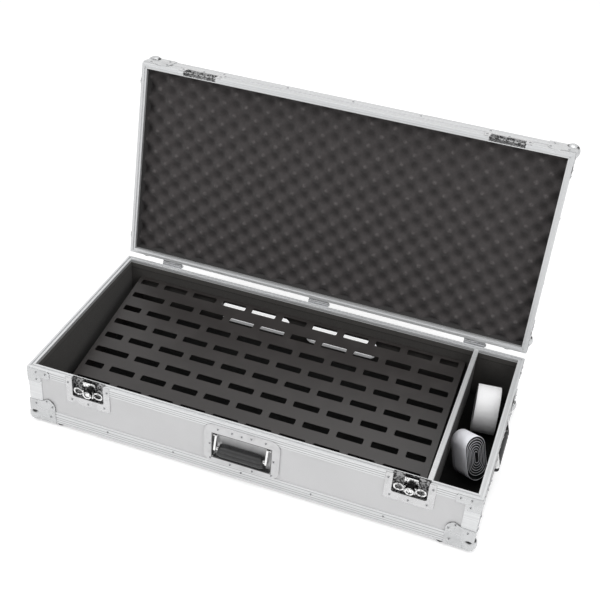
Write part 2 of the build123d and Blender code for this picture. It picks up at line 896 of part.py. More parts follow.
def latch_hook(face):
    """Sliding hook plate of a latch: a fork round the post, with its nose at the top.

    The face's origin is on the rim's top edge, above the latch's middle.
    """
    gap = 2 * (post_radius + hook_slot_clearance)
    slot_top = post_radius + hook_slot_clearance - latch_axis_below_rim
    slot = slot_top + hook_bottom_below_rim
    height = hook_bottom_below_rim - hook_top_below_rim
    with BuildPart() as hook:
        back = face.offset(-hook_back)
        plate(back, hook_width, height, hook_thickness, at=(0, -hook_top_below_rim - height / 2))
        at = (0, -hook_top_below_rim - hook_nose_height / 2)
        plate(face.offset(-hook_front), hook_width, hook_nose_height, hook_nose, at=at)
        at = (0, slot_top - slot / 2)
        plate(back, gap, slot, hook_thickness, at=at, mode=Mode.SUBTRACT)
    return hook.part


def lid_keeper(face):
    """Keeper in the lid's front: flange, pocket open below, and the bar that the hook pulls on.

    The face's origin is on the closed lid's lower edge, above the latch's middle.
    """
    with BuildPart() as keeper:
        plate(face.offset(-skin), dish_width, keeper_height, skin, at=(0, keeper_height / 2))
        width = keeper_pocket_width + 2 * pressing
        height = keeper_pocket_height + pressing
        depth = pocket_depth + pressing - skin
        plate(face.offset(-skin), width, height, -depth, at=(0, height / 2))
        at = (0, (keeper_pocket_height - seat) / 2)
        height = keeper_pocket_height + seat
        outside = face.offset(seat)
        plate(outside, keeper_pocket_width, height, -pocket_depth - seat, at=at, mode=Mode.SUBTRACT)
        at = (0, keeper_bar_above_lid + keeper_bar_height / 2)
        bar = face.offset(-skin)
        plate(bar, keeper_pocket_width, keeper_bar_height, -keeper_bar_thickness, at=at)
    return keeper.part


for name, x in (("left", -latch_from_centre), ("right", latch_from_centre)):
    rim_face = front_face(x, rim_z)
    axis_face = front_face(x, rim_z - latch_axis_below_rim)
    finish(f"latch_{name}_dish", latch_dish(rim_face))
    finish(f"latch_{name}_rotor", latch_rotor(axis_face))
    finish(f"latch_{name}_wing_a", latch_wing(axis_face, -1))
    finish(f"latch_{name}_wing_b", latch_wing(axis_face, 1))
    finish(f"latch_{name}_hook", latch_hook(rim_face))
    finish(f"lid_keeper_{name}", lid_keeper(placed(lid_swing, front_face(x, lid_z))))

# ---------------------------------------------------------------- recessed handles
arm_outer = recess_width / 2 - arm_side_gap
arm_inner = arm_outer - arm_thickness
pivot_at = (pivot_behind_face, pivot_above_centre)
rod_at = (-grip_outside, -grip_below_centre)


def handle_plate(face):
    """Recessed handle's plate: flange, pan and a filler that beds it on the board."""
    with BuildPart() as pressed:
        plate(face, handle_width, handle_height, handle_plate_thickness, handle_corner)
        tab_at = (0, (handle_height - tab_height) / 2)
        plate(face.offset(handle_plate_thickness), tab_width, tab_height, tab_thickness, at=tab_at)
        plate(face, handle_width, handle_height, -skin, handle_corner)
        above = rim_leg + handle_above_case + handle_height / 2 - base_height + seat
        at = (0, (handle_height - above) / 2)
        plate(face, handle_width, above, -skin, at=at, mode=Mode.SUBTRACT)
        below = angle_width - handle_above_case + handle_height / 2 + seat
        at = (0, (below - handle_height) / 2)
        plate(face, handle_width, below, -skin, at=at, mode=Mode.SUBTRACT)
        at = (0, -recess_below_centre)
        depth = pocket_depth + pressing
        plate(face, recess_outer_width, recess_outer_height, -depth, recess_corner, at)
        top = face.offset(handle_plate_thickness)
        depth = pocket_depth + handle_plate_thickness
        plate(top, recess_width, recess_height, -depth, recess_corner, at, Mode.SUBTRACT)
        bore = across(face, -recess_outer_width / 2)
        disc(bore, pivot_radius + running, recess_outer_width, pivot_at, Mode.SUBTRACT)
    return pressed.part


def handle_bail(face):
    """Bail of a handle: two arms on pivot pins, joined by the rod inside the grip."""
    with BuildPart() as bail:
        for side in (-1, 1):
            inner = across(face, side * arm_inner)
            with BuildSketch(inner) as arm:
                with Locations(pivot_at):
                    Circle(arm_eye)
                with Locations(rod_at):
                    Circle(arm_foot)
                make_hull()
            extrude(arm.sketch, amount=side * arm_thickness)
            disc(inner, pivot_radius, side * (recess_outer_width / 2 - arm_inner), pivot_at)
        disc(across(face, -arm_inner), rod_radius, 2 * arm_inner, rod_at)
    return bail.part


def handle_grip(face):
    """Moulded grip on a bail's rod, narrower at its top and grooved along its front."""
    half_grip = arm_inner - grip_end_gap
    low = -grip_below_centre - grip_height / 2
    high = -grip_below_centre + grip_height / 2
    with BuildPart() as grip:
        end = across(face, -half_grip)
        plate(end, grip_thickness, grip_height, 2 * half_grip, grip_corner, rod_at)
        groove_at = (-grip_outside - grip_thickness / 2, -grip_below_centre)
        depth = 2 * grip_groove_depth
        plate(end, depth, grip_groove_width, 2 * half_grip, at=groove_at, mode=Mode.SUBTRACT)
        disc(end, rod_radius + running, 2 * half_grip, rod_at, Mode.SUBTRACT)
        front_view = (
            (-half_grip, low),
            (half_grip, low),
            (half_grip - grip_end_slope, high),
            (grip_end_slope - half_grip, high),
        )
        prism(face, front_view, 2 * grip_thickness, both=True, mode=Mode.INTERSECT)
    return grip.part


for name, face in (("front", front_handle), ("left", left_handle), ("right", right_handle)):
    finish(f"{name}_handle_plate", handle_plate(face))
    finish(f"{name}_handle_bail", handle_bail(face))
    finish(f"{name}_handle_grip", handle_grip(face))


# ---------------------------------------------------------------- rolls of tape
def spiral_turns(radius, pitch, half_turns):
    """Each half turn's radius, from the inside out, and the sideways place of its centre.

    Half turns about two centres, half a pitch apart, join smoothly into one even spiral.
    """
    inner = radius - pitch * (half_turns - 1) / 2
    return [(inner + turn * pitch / 2, turn % 2 * pitch / 2) for turn in range(half_turns)]


def strip_edge(turns, extra, straight, droop):
    """One face of the strip: half turns over and under, joined by its straight sides."""
    last = len(turns) - 1
    end = None
    for turn, (radius, centre) in enumerate(turns):
        over = 1 - 2 * (turn % 2)
        level = over * straight / 2 - (droop if turn == last else 0)
        start = (centre + over * (radius + extra), level)
        if end is not None and straight:
            Line(end, start)
        CenterArc((centre, level), radius + extra, 90 - 90 * over, 180)
        end = (centre - over * (radius + extra), level)
    return end


def least_gap(turns, thickness, straight, droop):
    """Least gap between the strip and its own next turn, measured on points."""
    steps = 24
    gaps = []
    for turn in range(len(turns) - 2):
        for step in range(steps + 1):
            angle = radians(180 * (turn % 2) + 180 * step / steps)
            points = []
            for index, extra in ((turn, thickness), (turn + 2, 0.0)):
                radius, centre = turns[index]
                lowered = droop if index == len(turns) - 1 else 0.0
                level = straight / 2 * (1 - 2 * (index % 2)) - lowered
                sideways = centre + (radius + extra) * cos(angle)
                points.append((sideways, level + (radius + extra) * sin(angle)))
            gaps.append(hypot(points[1][0] - points[0][0], points[1][1] - points[0][1]))
    return min(gaps)


def tape_roll(plane, turns, thickness, straight, droop):
    """A strip of tape wound on itself, as one unbroken solid, centred on a plane."""
    with BuildPart() as roll:
        with BuildSketch(plane.offset(-tape_width / 2)) as strip:
            with BuildLine() as edges:
                outer_end = strip_edge(turns, thickness, straight, droop)
                inner_end = strip_edge(turns, 0.0, straight, droop)
                Line(outer_end, inner_end)
                radius, centre = turns[0]
                start = (centre + radius, straight / 2)
                Line(start, (start[0] + thickness, start[1]))
            make_face(edges.edges())
        extrude(strip.sketch, amount=tape_width)
    return roll.part


hook_turns = spiral_turns(hook_radius - hook_tape, hook_pitch, hook_half_turns)
yaw = radians(hook_yaw)
lean = radians(hook_lean)
hook_axis = Vector(cos(yaw) * cos(lean), -sin(yaw) * cos(lean), sin(lean))
hook_plane = Plane(origin=(0, 0, 0), x_dir=(sin(yaw), cos(yaw), 0), z_dir=hook_axis)
hook_side = hook_radius * hypot(hook_plane.x_dir.X, hook_plane.y_dir.X)
hook_side += hook_straight / 2 * abs(hook_plane.y_dir.X) + tape_width / 2 * hook_axis.X
hook_drop = (hook_radius + hook_straight / 2 + hook_droop) * hook_plane.y_dir.Z
hook_drop += tape_width / 2 * hook_axis.Z
hook_middle = (
    divider_x + cap_width / 2 + seat + hook_side,
    front_y + hook_from_front,
    floor_z + seat + hook_drop,
)
hook_plane = Plane(origin=hook_middle, x_dir=hook_plane.x_dir, z_dir=hook_axis)
tape_roll_front = tape_roll(hook_plane, hook_turns, hook_tape, hook_straight, hook_droop)
finish("tape_roll_front", tape_roll_front)

loop_turns = spiral_turns(loop_radius - loop_tape, loop_pitch, loop_half_turns)
yaw = radians(loop_yaw)
loop_plane = Plane(
    origin=(
        half_length - loop_from_right,
        front_y + loop_from_front,
        floor_z + seat + loop_radius,
    ),
    x_dir=(-sin(yaw), cos(yaw), 0),
    z_dir=(cos(yaw), sin(yaw), 0),
)
tape_roll_rear = tape_roll(loop_plane, loop_turns, loop_tape, 0.0, 0.0)
finish("tape_roll_rear", tape_roll_rear)

front_gap = least_gap(hook_turns, hook_tape, hook_straight, hook_droop)
rear_gap = least_gap(loop_turns, loop_tape, 0.0, 0.0)
print(f"least gap of a roll to itself: front {front_gap:.2f} mm, rear {rear_gap:.2f} mm")
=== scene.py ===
"""Looks of a flight case for a guitar pedal board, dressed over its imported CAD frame.

Everything is in metres in the row frame: X along the case, Y from front to back, Z up.
What belongs to the lid is drawn as if the lid were closed, and then swung open with it.
"""

import logging
import math
from dataclasses import dataclass, field
from enum import Enum
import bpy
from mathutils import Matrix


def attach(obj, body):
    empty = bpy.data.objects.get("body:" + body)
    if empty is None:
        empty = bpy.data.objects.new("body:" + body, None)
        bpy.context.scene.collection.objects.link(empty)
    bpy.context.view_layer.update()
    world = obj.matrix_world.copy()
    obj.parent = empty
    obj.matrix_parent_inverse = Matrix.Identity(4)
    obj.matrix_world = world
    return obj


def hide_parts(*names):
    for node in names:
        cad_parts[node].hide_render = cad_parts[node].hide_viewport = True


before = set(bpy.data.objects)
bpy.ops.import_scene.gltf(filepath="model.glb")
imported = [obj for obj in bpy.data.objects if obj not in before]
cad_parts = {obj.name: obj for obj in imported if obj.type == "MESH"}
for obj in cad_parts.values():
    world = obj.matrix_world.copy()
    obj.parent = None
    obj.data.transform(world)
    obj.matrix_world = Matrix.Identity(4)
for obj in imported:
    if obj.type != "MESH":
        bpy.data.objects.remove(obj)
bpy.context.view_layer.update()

from fnmatch import fnmatchcase

import bmesh
import bpy
import numpy as np
from mathutils import Matrix
from numpy.typing import NDArray

Points = NDArray[np.float64]
Colour = tuple[float, float, float]
Vector = tuple[float, float, float]
Pair = tuple[float, float]
UP = (0.0, 0.0, 1.0)
log = logging.getLogger("pedal_case")


# ---------------------------------------------------------------- shared sizes
@dataclass(frozen=True)
class CaseSizes:
    """Outer and inner planes of the case that its dressing shares."""

    length: float = 0.960
    depth: float = 0.458
    front_y: float = -0.2984375
    underside_z: float = 0.008
    base_height: float = 0.138
    lid_height: float = 0.059
    parting_gap: float = 0.0004
    board: float = 0.0105
    lined: float = 0.012
    rim_lip: float = 0.008
    band_depth: float = 0.021
    band_extra: float = 0.0005
    hinge_y: float = 0.1661625
    hinge_z: float = 0.1476
    open_angle: float = 100.6
    divider_x: float = 0.3755
    cap_width: float = 0.010
    handle_x: float = -0.001
    handle_above_case: float = 0.078

    @property
    def half_length(self) -> float:
        """Half of the case's length."""
        return self.length / 2

    @property
    def back_y(self) -> float:
        """The base's rear face."""
        return self.front_y + self.depth

    @property
    def middle_y(self) -> float:
        """Half way from the front to the back."""
        return self.front_y + self.depth / 2

    @property
    def rim_z(self) -> float:
        """The base's top."""
        return self.underside_z + self.base_height

    @property
    def floor_z(self) -> float:
        """The felt floor."""
        return self.underside_z + self.lined

    @property
    def lid_z(self) -> float:
        """The closed lid's lower edge."""
        return self.rim_z + self.parting_gap

    @property
    def lid_top_z(self) -> float:
        """The closed lid's top."""
        return self.lid_z + self.lid_height

    def opened(self, points: Points) -> Points:
        """Swings points of the closed lid open.

        A point's distances from the hinge line, backwards and upwards, turn by the open angle.

        Args:
            points: Points of the closed lid, in an array whose last axis is x, y, z.

        Returns:
            The same points on the open lid.
        """
        turn = math.radians(self.open_angle)
        back = points[..., 1] - self.hinge_y
        up = points[..., 2] - self.hinge_z
        y = self.hinge_y + back * math.cos(turn) + up * math.sin(turn)
        z = self.hinge_z - back * math.sin(turn) + up * math.cos(turn)
        return np.stack([points[..., 0], y, z], axis=-1)


CASE = CaseSizes()


# ---------------------------------------------------------------- surfaces
def spread(low: float, high: float, count: int) -> Points:
    """Evenly spaced numbers from low to high."""
    return np.linspace(low, high, count)


def ripples(first: Points, second: Points, wavelength: float, height: float) -> Points:
    """Low uneven waves over a sheet.

    Formula: a sum of three sines whose directions and lengths share no common measure.

    Args:
        first: One distance along the sheet.
        second: The other distance.
        wavelength: Length of the main wave.
        height: Height of the highest crest.

    Returns:
        The height at each point.
    """
    turn = 2 * math.pi / wavelength
    waves = np.sin(turn * (first + 0.37 * second))
    waves = waves + np.sin(turn * (0.61 * second - 0.29 * first) + 1.3)
    waves = waves + np.sin(turn * 1.73 * (first - second) + 2.1)
    return waves * height / 3


def rounded_outline(width: float, height: float, corner: float, count: int) -> Points:
    """Rectangle with round corners, as points at even steps of angle about its middle.

    Formula: a ray at each angle is cut where it leaves the rectangle shrunk by the corner
    radius and grown again by a circle of that radius.

    Args:
        width: Full width along x.
        height: Full height along y.
        corner: Corner radius.
        count: Number of points.

    Returns:
        Points as an array of (count, 2), anticlockwise from the positive x axis.
    """
    angle = spread(0.0, 2 * math.pi, count + 1)[:-1]
    way = np.stack([np.cos(angle), np.sin(angle)], axis=-1)
    half = np.array([width / 2, height / 2])
    reach = np.min(half / np.maximum(np.abs(way), 1e-9), axis=-1)
    centre = half - corner
    inside = np.abs(way) * reach[:, None] > centre
    in_corner = inside.all(axis=-1)
    along = np.abs(way) @ centre
    square = along**2 - (centre @ centre - corner**2)
    reach = np.where(in_corner, along + np.sqrt(np.maximum(square, 0.0)), reach)
    return way * reach[:, None]


class Shell:
    """Surfaces gathered into one mesh of closed shells."""

    def __init__(self, name: str) -> None:
        """Starts an empty shell under a piece's name."""
        self.name = name
        self.points: list[Points] = []
        self.faces: list[tuple[int, ...]] = []
        self.count = 0

    def _keep(self, points: Points) -> NDArray[np.int64]:
        """Stores a grid of points and returns its index grid."""
        flat = points.reshape(-1, 3)
        index = np.arange(len(flat)).reshape(points.shape[:-1]) + self.count
        self.points.append(flat)
        self.count += len(flat)
        return index

    def _quads(self, index: NDArray[np.int64]) -> None:
        """Joins neighbours of an index grid into quads."""
        corners = [index[:-1, :-1], index[1:, :-1], index[1:, 1:], index[:-1, 1:]]
        self.faces += [tuple(quad) for quad in np.stack(corners, axis=-1).reshape(-1, 4).tolist()]

    def tube(self, rings: Points, capped: bool = True) -> None:
        """Closed tube through rings of points.

        Args:
            rings: Array of (rings, points round a ring, 3).
            capped: True to close both ends, False where the last ring meets the first.
        """
        index = self._keep(rings)
        index = np.concatenate([index, index[:, :1]], axis=1)
        if not capped:
            index = np.concatenate([index, index[:1]], axis=0)
        self._quads(index)
        if capped:
            self.faces.append(tuple(index[0, :-1].tolist()))
            self.faces.append(tuple(index[-1, :-1][::-1].tolist()))

    def slab(self, face: Points, back: Points, ring: bool = False) -> None:
        """Closed skin between two grids of one shape: a sheet's face and its back.

        Args:
            face: Array of (rows, columns, 3).
            back: The same for the other side.
            ring: True where the last column meets the first.
        """
        if ring:
            face = np.concatenate([face, face[:, :1]], axis=1)
            back = np.concatenate([back, back[:, :1]], axis=1)
        front, rear = self._keep(face), self._keep(back)
        self._quads(front)
        self._quads(rear[:, ::-1])
        self._quads(np.stack([rear[0], front[0]]))
        self._quads(np.stack([front[-1], rear[-1]]))
        if not ring:
            self._quads(np.stack([front[:, 0], rear[:, 0]]))
            self._quads(np.stack([rear[:, -1], front[:, -1]]))

    def strip(self, start: Pair, end: Pair, inward: Pair, section: Points, steps: int) -> Points:
        """Rings of a section that runs level from start to end, with its first way inwards."""
        path = np.linspace((*start, 0.0), (*end, 0.0), steps)
        return swept(path, (*inward, 0.0), UP, section)

    def build(self, finish: "Finish", crease: float = 35.0) -> bpy.types.Object:
        """Makes the piece: joins meeting points, turns its faces outwards and dresses it.

        Args:
            finish: Its surface finish.
            crease: Angle in degrees above which an edge stays sharp.

        Returns:
            The new object.
        """
        mesh = bpy.data.meshes.new(self.name)
        mesh.from_pydata(np.concatenate(self.points).tolist(), [], self.faces)
        work = bmesh.new()
        work.from_mesh(mesh)
        bmesh.ops.remove_doubles(work, verts=work.verts, dist=2e-6)
        bmesh.ops.dissolve_degenerate(work, edges=work.edges, dist=1e-7)
        bmesh.ops.recalc_face_normals(work, faces=work.faces)
        work.to_mesh(mesh)
        work.free()
        mesh.shade_smooth()
        mesh.set_sharp_from_angle(angle=math.radians(crease))
        mesh.materials.append(finish.material())
        piece = bpy.data.objects.new(self.name, mesh)
        bpy.context.scene.collection.objects.link(piece)
        return piece


def swept(path: Points, across: Points | Vector, upright: Points | Vector, profile: Points) -> Points:
    """Rings of a profile carried along a path.

    Formula: each path point plus the profile's two numbers times the two side directions.

    Args:
        path: Array of (n, 3).
        across: First side direction at each point, (n, 3) or (3,).
        upright: Second side direction at each point.
        profile: Array of (m, 2).

    Returns:
        Array of (n, m, 3).
    """
    first = np.broadcast_to(across, path.shape)[:, None, :] * profile[None, :, :1]
    second = np.broadcast_to(upright, path.shape)[:, None, :] * profile[None, :, 1:]
    return path[:, None, :] + first + second


# ---------------------------------------------------------------- shader writing
def display(red: float, green: float, blue: float) -> Colour:
    """Scene colour of a display colour given from 0 to 255."""
    shares = [channel / 255 for channel in (red, green, blue)]
    straight = [s / 12.92 if s <= 0.04045 else ((s + 0.055) / 1.055) ** 2.4 for s in shares]
    return (straight[0], straight[1], straight[2])


class Value:
    """A number in a material, which arithmetic extends by one Math node each time."""

    def __init__(self, tree: "Tree", socket: bpy.types.NodeSocket) -> None:
        """Wraps an output socket."""
        self.tree = tree
        self.socket = socket

    def _math(self, operation: str, *terms: "Value | float") -> "Value":
        """Adds a Math node over the given terms."""
        node = self.tree.node("ShaderNodeMath", {"operation": operation}, dict(enumerate(terms)))
        return Value(self.tree, node.outputs[0])

    def __add__(self, other: "Value | float") -> "Value":
        """Sum."""
        return self._math("ADD", self, other)

    __radd__ = __add__

    def __sub__(self, other: "Value | float") -> "Value":
        """Difference."""
        return self._math("SUBTRACT", self, other)

    def __rsub__(self, other: float) -> "Value":
        """Difference from a plain number."""
        return self._math("SUBTRACT", other, self)

    def __mul__(self, other: "Value | float") -> "Value":
        """Product."""
        return self._math("MULTIPLY", self, other)

    __rmul__ = __mul__

    def __gt__(self, other: "Value | float") -> "Value":
        """One where this value is the greater, else nought."""
        return self._math("GREATER_THAN", self, other)

    def __abs__(self) -> "Value":
        """Size without sign."""
        return self._math("ABSOLUTE", self)

    def least(self, other: "Value | float") -> "Value":
        """The smaller of two values."""
        return self._math("MINIMUM", self, other)

    def most(self, other: "Value | float") -> "Value":
        """The larger of two values."""
        return self._math("MAXIMUM", self, other)

    def sine(self) -> "Value":
        """Sine of an angle in radians."""
        return self._math("SINE", self)

    def eased(self, low: float, high: float) -> "Value":
        """Smooth rise from 0 at low to 1 at high."""
        settings = {"interpolation_type": "SMOOTHSTEP"}
        inputs = {"Value": self, "From Min": low, "From Max": high}
        return Value(self.tree, self.tree.node("ShaderNodeMapRange", settings, inputs).outputs[0])


class Tree:
    """Nodes of one material, round its Principled shader."""

    def __init__(self, name: str) -> None:
        """Starts a material with its shader and output."""
        self.material = bpy.data.materials.new(name)
        self.material.use_nodes = True
        self.nodes = self.material.node_tree.nodes
        self.links = self.material.node_tree.links
        self.shader = self.nodes["Principled BSDF"]

    def node(self, kind: str, settings: dict, inputs: dict) -> bpy.types.Node:
        """Makes one node.

        Args:
            kind: The node's type.
            settings: Attributes, which are set before the inputs.
            inputs: Values or links by socket name or number.

        Returns:
            The new node.
        """
        node = self.nodes.new(kind)
        for key, setting in settings.items():
            setattr(node, key, setting)
        for key, given in inputs.items():
            self.feed(node.inputs[key], given)
        return node

    def feed(self, socket: bpy.types.NodeSocket, given: object) -> None:
        """Links or sets one input socket."""
        if isinstance(given, Value):
            self.links.new(given.socket, socket)
        elif isinstance(given, bpy.types.NodeSocket):
            self.links.new(given, socket)
        elif isinstance(given, tuple) and len(given) == 3 and socket.type == "RGBA":
            socket.default_value = (*given, 1.0)
        else:
            socket.default_value = given

    def place(
        self, turn: Vector = (0.0, 0.0, 0.0), stretch: Vector = (1.0, 1.0, 1.0), uv: bool = False
    ) -> bpy.types.NodeSocket:
        """Object or UV coordinates after a turn in radians and a stretch."""
        source = self.node("ShaderNodeTexCoord", {}, {}).outputs["UV" if uv else "Object"]
        settings = {"vector_type": "POINT"}
        inputs = {"Vector": source, "Rotation": turn, "Scale": stretch}
        return self.node("ShaderNodeMapping", settings, inputs).outputs[0]

    def parts(self, vector: bpy.types.NodeSocket) -> tuple[Value, Value, Value]:
        """The three numbers of a vector."""
        node = self.node("ShaderNodeSeparateXYZ", {}, {0: vector})
        x, y, z = (Value(self, output) for output in node.outputs)
        return x, y, z

    def attribute(self, name: str) -> Value:
        """A number that the mesh keeps for each of its points."""
        node = self.node("ShaderNodeAttribute", {"attribute_name": name}, {})
        return Value(self, node.outputs["Fac"])

    def noise(
        self, vector: bpy.types.NodeSocket, scale: float, detail: float = 2.0, rough: float = 0.5
    ) -> Value:
        """Cloudy noise from 0 to 1 around one half; scale counts its lumps in a metre."""
        inputs = {"Vector": vector, "Scale": scale, "Detail": detail, "Roughness": rough}
        return Value(self, self.node("ShaderNodeTexNoise", {}, inputs).outputs[0])

    def cells(self, vector: bpy.types.NodeSocket, scale: float) -> Value:
        """Distance to the nearest of scattered points."""
        inputs = {"Vector": vector, "Scale": scale}
        return Value(self, self.node("ShaderNodeTexVoronoi", {}, inputs).outputs["Distance"])

    def openness(self, reach: float) -> Value:
        """One in the open, falling towards nought in corners and beside what stands proud."""
        inputs = {"Distance": reach}
        node = self.node("ShaderNodeAmbientOcclusion", {"samples": 8}, inputs)
        return Value(self, node.outputs["AO"])

    def normal(self) -> tuple[Value, Value, Value]:
        """The surface's direction as the piece stands at rest."""
        return self.parts(self.node("ShaderNodeTexCoord", {}, {}).outputs["Normal"])

    def mixed(self, first: object, second: object, share: Value) -> bpy.types.NodeSocket:
        """Colour between two colours."""
        inputs = {0: share, 6: first, 7: second}
        return self.node("ShaderNodeMix", {"data_type": "RGBA"}, inputs).outputs[2]

    def finish(
        self, colour: object, roughness: Value | float, height: Value | None, depth: float
    ) -> None:
        """Feeds the shader.

        Args:
            colour: Colour or link for Base Color.
            roughness: Number or link for Roughness.
            height: Relief for the Bump node, or None.
            depth: Depth in metres of a relief of 1.
        """
        self.feed(self.shader.inputs["Base Color"], colour)
        self.feed(self.shader.inputs["Roughness"], roughness)
        if height is not None:
            inputs = {"Height": height, "Distance": depth, "Strength": 1.0}
            bump = self.node("ShaderNodeBump", {}, inputs)
            self.feed(self.shader.inputs["Normal"], bump.outputs[0])


# ---------------------------------------------------------------- finishes
class Member(Enum):
    """Which part of the case a brushed extrusion belongs to."""

    BASE = "base"
    LID = "lid"


@dataclass(frozen=True)
class Finish:
    """A surface finish, made into one material the first time it is asked for."""

    name: str
    colour: Colour
    roughness: float
    metallic: float = 0.0

    def dress(self, tree: Tree) -> None:
        """Adds what varies over the surface."""
        raise NotImplementedError

    def constants(self, shader: bpy.types.Node) -> None:
        """Sets what is the same all over the surface."""
        shader.inputs["Metallic"].default_value = self.metallic

    def material(self) -> bpy.types.Material:
        """The finish's material."""
        made = bpy.data.materials.get(self.name)
        if made is None:
            tree = Tree(self.name)
            self.constants(tree.shader)
            self.dress(tree)
            made = tree.material
        return made

    def toned(self, share: float) -> Colour:
        """The finish's colour made lighter or darker by a share."""
        return tuple(min(1.0, channel * share) for channel in self.colour)


def closed(tree: Tree, member: Member) -> tuple[Value, Value, Value]:
    """Where a point lies on the closed case.

    Formula: for the lid, the coordinates turn back about X by the open angle, and then
    shift so that the hinge line keeps its place.

    Args:
        tree: The material's nodes.
        member: The part of the case that the surface belongs to.

    Returns:
        The three coordinates.
    """
    turn = math.radians(CASE.open_angle) if member is Member.LID else 0.0
    x, y, z = tree.parts(tree.place((turn, 0, 0)))
    shift_y = CASE.hinge_y - CASE.hinge_y * math.cos(turn) + CASE.hinge_z * math.sin(turn)
    shift_z = CASE.hinge_z - CASE.hinge_y * math.sin(turn) - CASE.hinge_z * math.cos(turn)
    return x, y + shift_y, z + shift_z


def depth_below(tree: Tree, member: Member) -> Value:
    """How far a point lies inside the nearest of the case's four upright faces."""
    x, y, _ = closed(tree, member)
    return (CASE.half_length - abs(x)).least(CASE.depth / 2 - abs(y - CASE.middle_y))


@dataclass(frozen=True)
class LaminatedBoard(Finish):
    """Grey plastic laminate with a fine pebbled grain."""

    def dress(self, tree: Tree) -> None:
        """Pebbles under a faint cloud of tone, with painted shade in corners and beside what stands proud.
        """
        place = tree.place()
        cloud = tree.noise(place, 9.0, 3.0)
        grain = tree.noise(place, 1400.0, 2.0, 0.6)
        tone = cloud.eased(0.3, 0.7) * 0.6 + grain.eased(0.35, 0.65) * 0.4
        colour = tree.mixed(self.toned(0.955), self.toned(1.03), tone)
        # Painted shade: darker in corners and beside proud parts, from ambient occlusion.
        colour = tree.mixed(self.toned(0.35), colour, tree.openness(0.004).eased(0.1, 0.62))
        pebbles = tree.cells(place, 700.0)
        tree.finish(colour, grain * 0.1 + (self.roughness - 0.05), pebbles, 0.00006)


@dataclass(frozen=True)
class BrushedAluminium(Finish):
    """Anodised extrusion with drawing lines along each length."""

    member: Member = Member.BASE
    grooves: tuple[float, ...] = (0.0050, 0.0105, 0.0160, 0.0240)
    groove_edges: Pair = (0.0004, 0.0011)
    stretches: tuple[Vector, Vector] = ((3.0, 900.0, 900.0), (900.0, 3.0, 900.0))

    def ridges(self, z: Value) -> Value:
        """Nought along the fine grooves, at set heights from both edges, and one elsewhere."""
        low, high = CASE.underside_z, CASE.rim_z
        if self.member is Member.LID:
            low, high = CASE.lid_z, CASE.lid_top_z
        levels = [low + step for step in self.grooves] + [high - step for step in self.grooves]
        return math.prod([abs(z - level).eased(*self.groove_edges) for level in levels])

    def dress(self, tree: Tree) -> None:
        """Lines run along x on the long bars, and along the other way on the short ones; corners and the
        fine grooves get painted shade.

        Formula: a bar is a short one where the point is nearer to the case's end than to
        its front or back, measured from the outer faces.
        """
        turn = math.radians(CASE.open_angle) if self.member is Member.LID else 0.0
        along_x, along_y = (
            tree.noise(tree.place((turn, 0, 0), stretch), 1.0, 2.0, 0.6) for stretch in self.stretches
        )
        x, y, z = closed(tree, self.member)
        to_end = CASE.half_length - abs(x)
        to_side = CASE.depth / 2 - abs(y - CASE.middle_y)
        short = to_side > to_end
        drawn = along_x * (1 - short) + along_y * short
        smudge = tree.noise(tree.place(), 30.0, 3.0)
        ridges = self.ridges(z)
        # Painted shade in corners, beside proud parts and along the fine grooves.
        unshaded = tree.openness(0.004).eased(0.08, 0.5) * (ridges * 0.58 + 0.42)
        colour = tree.mixed(self.toned(0.88), self.toned(1.06), drawn.eased(0.3, 0.7))
        colour = tree.mixed(self.toned(0.12), colour, unshaded)
        rough = drawn * 0.12 + smudge * 0.1 + (self.roughness - 0.11)
        tree.finish(colour, rough, drawn * 0.2 + ridges * 2.0, 0.0001)


@dataclass(frozen=True)
class BrightPlating(Finish):
    """Nickel or chrome plating over pressed steel, with faint dents and smears."""

    wave: float = 0.0002
    reach: float = 0.004
    shut: float = 0.1
    unshaded: float = 0.6

    def shade(self, tree: Tree, waves: Value) -> Value:
        """One where the plating is painted bright, nought where a dark reflection is painted.

        Formula: balls get a painted dark reflection band, where the height of the surface's
        direction, bent a little by noise, lies near a set level.
        """
        return abs(tree.normal()[2] - 0.7 + (waves - 0.5) * 0.2).eased(0.05, 0.2)

    def dress(self, tree: Tree) -> None:
        """Shallow waves of the pressing, with smears, fine pits, painted shade in corners and a painted
        reflection.
        """
        place = tree.place()
        waves = tree.noise(place, 70.0, 2.0)
        pits = tree.noise(place, 2200.0, 1.0)
        smear = tree.noise(place, 45.0, 4.0, 0.6).eased(0.4, 0.75)
        colour = tree.mixed(self.toned(1.0), self.toned(0.88), smear)
        # Painted shade in corners and beside proud parts, times the painted reflection from shade().
        seen = tree.openness(self.reach).eased(self.shut, self.unshaded) * self.shade(tree, waves)
        colour = tree.mixed(self.toned(0.03), colour, seen)
        height = waves + pits * 0.05
        tree.finish(colour, smear * 0.14 + pits * 0.03 + self.roughness, height, self.wave)


@dataclass(frozen=True)
class RecessPlating(BrightPlating):
    """Plating of a pressed pan, whose walls get a painted dark reflection of the inside.

    The walls are painted dark from just below the case's face down to a set depth, with painted glints.
    """

    member: Member = Member.BASE
    deepest: float = 1.0
    glints: float = 0.3

    def shade(self, tree: Tree, waves: Value) -> Value:
        """Painted reflection: bright on the rim, dark down the walls with painted glints, and bright again
        below the deepest.
        """
        depth = depth_below(tree, self.member)
        lumps = tree.noise(tree.place(), 240.0, 2.0).eased(0.4, 0.6)
        walls = depth.eased(0.0004, 0.0016) * (1 - depth.eased(self.deepest, self.deepest + 0.004))
        return 1 - walls * (1 - lumps * self.glints)


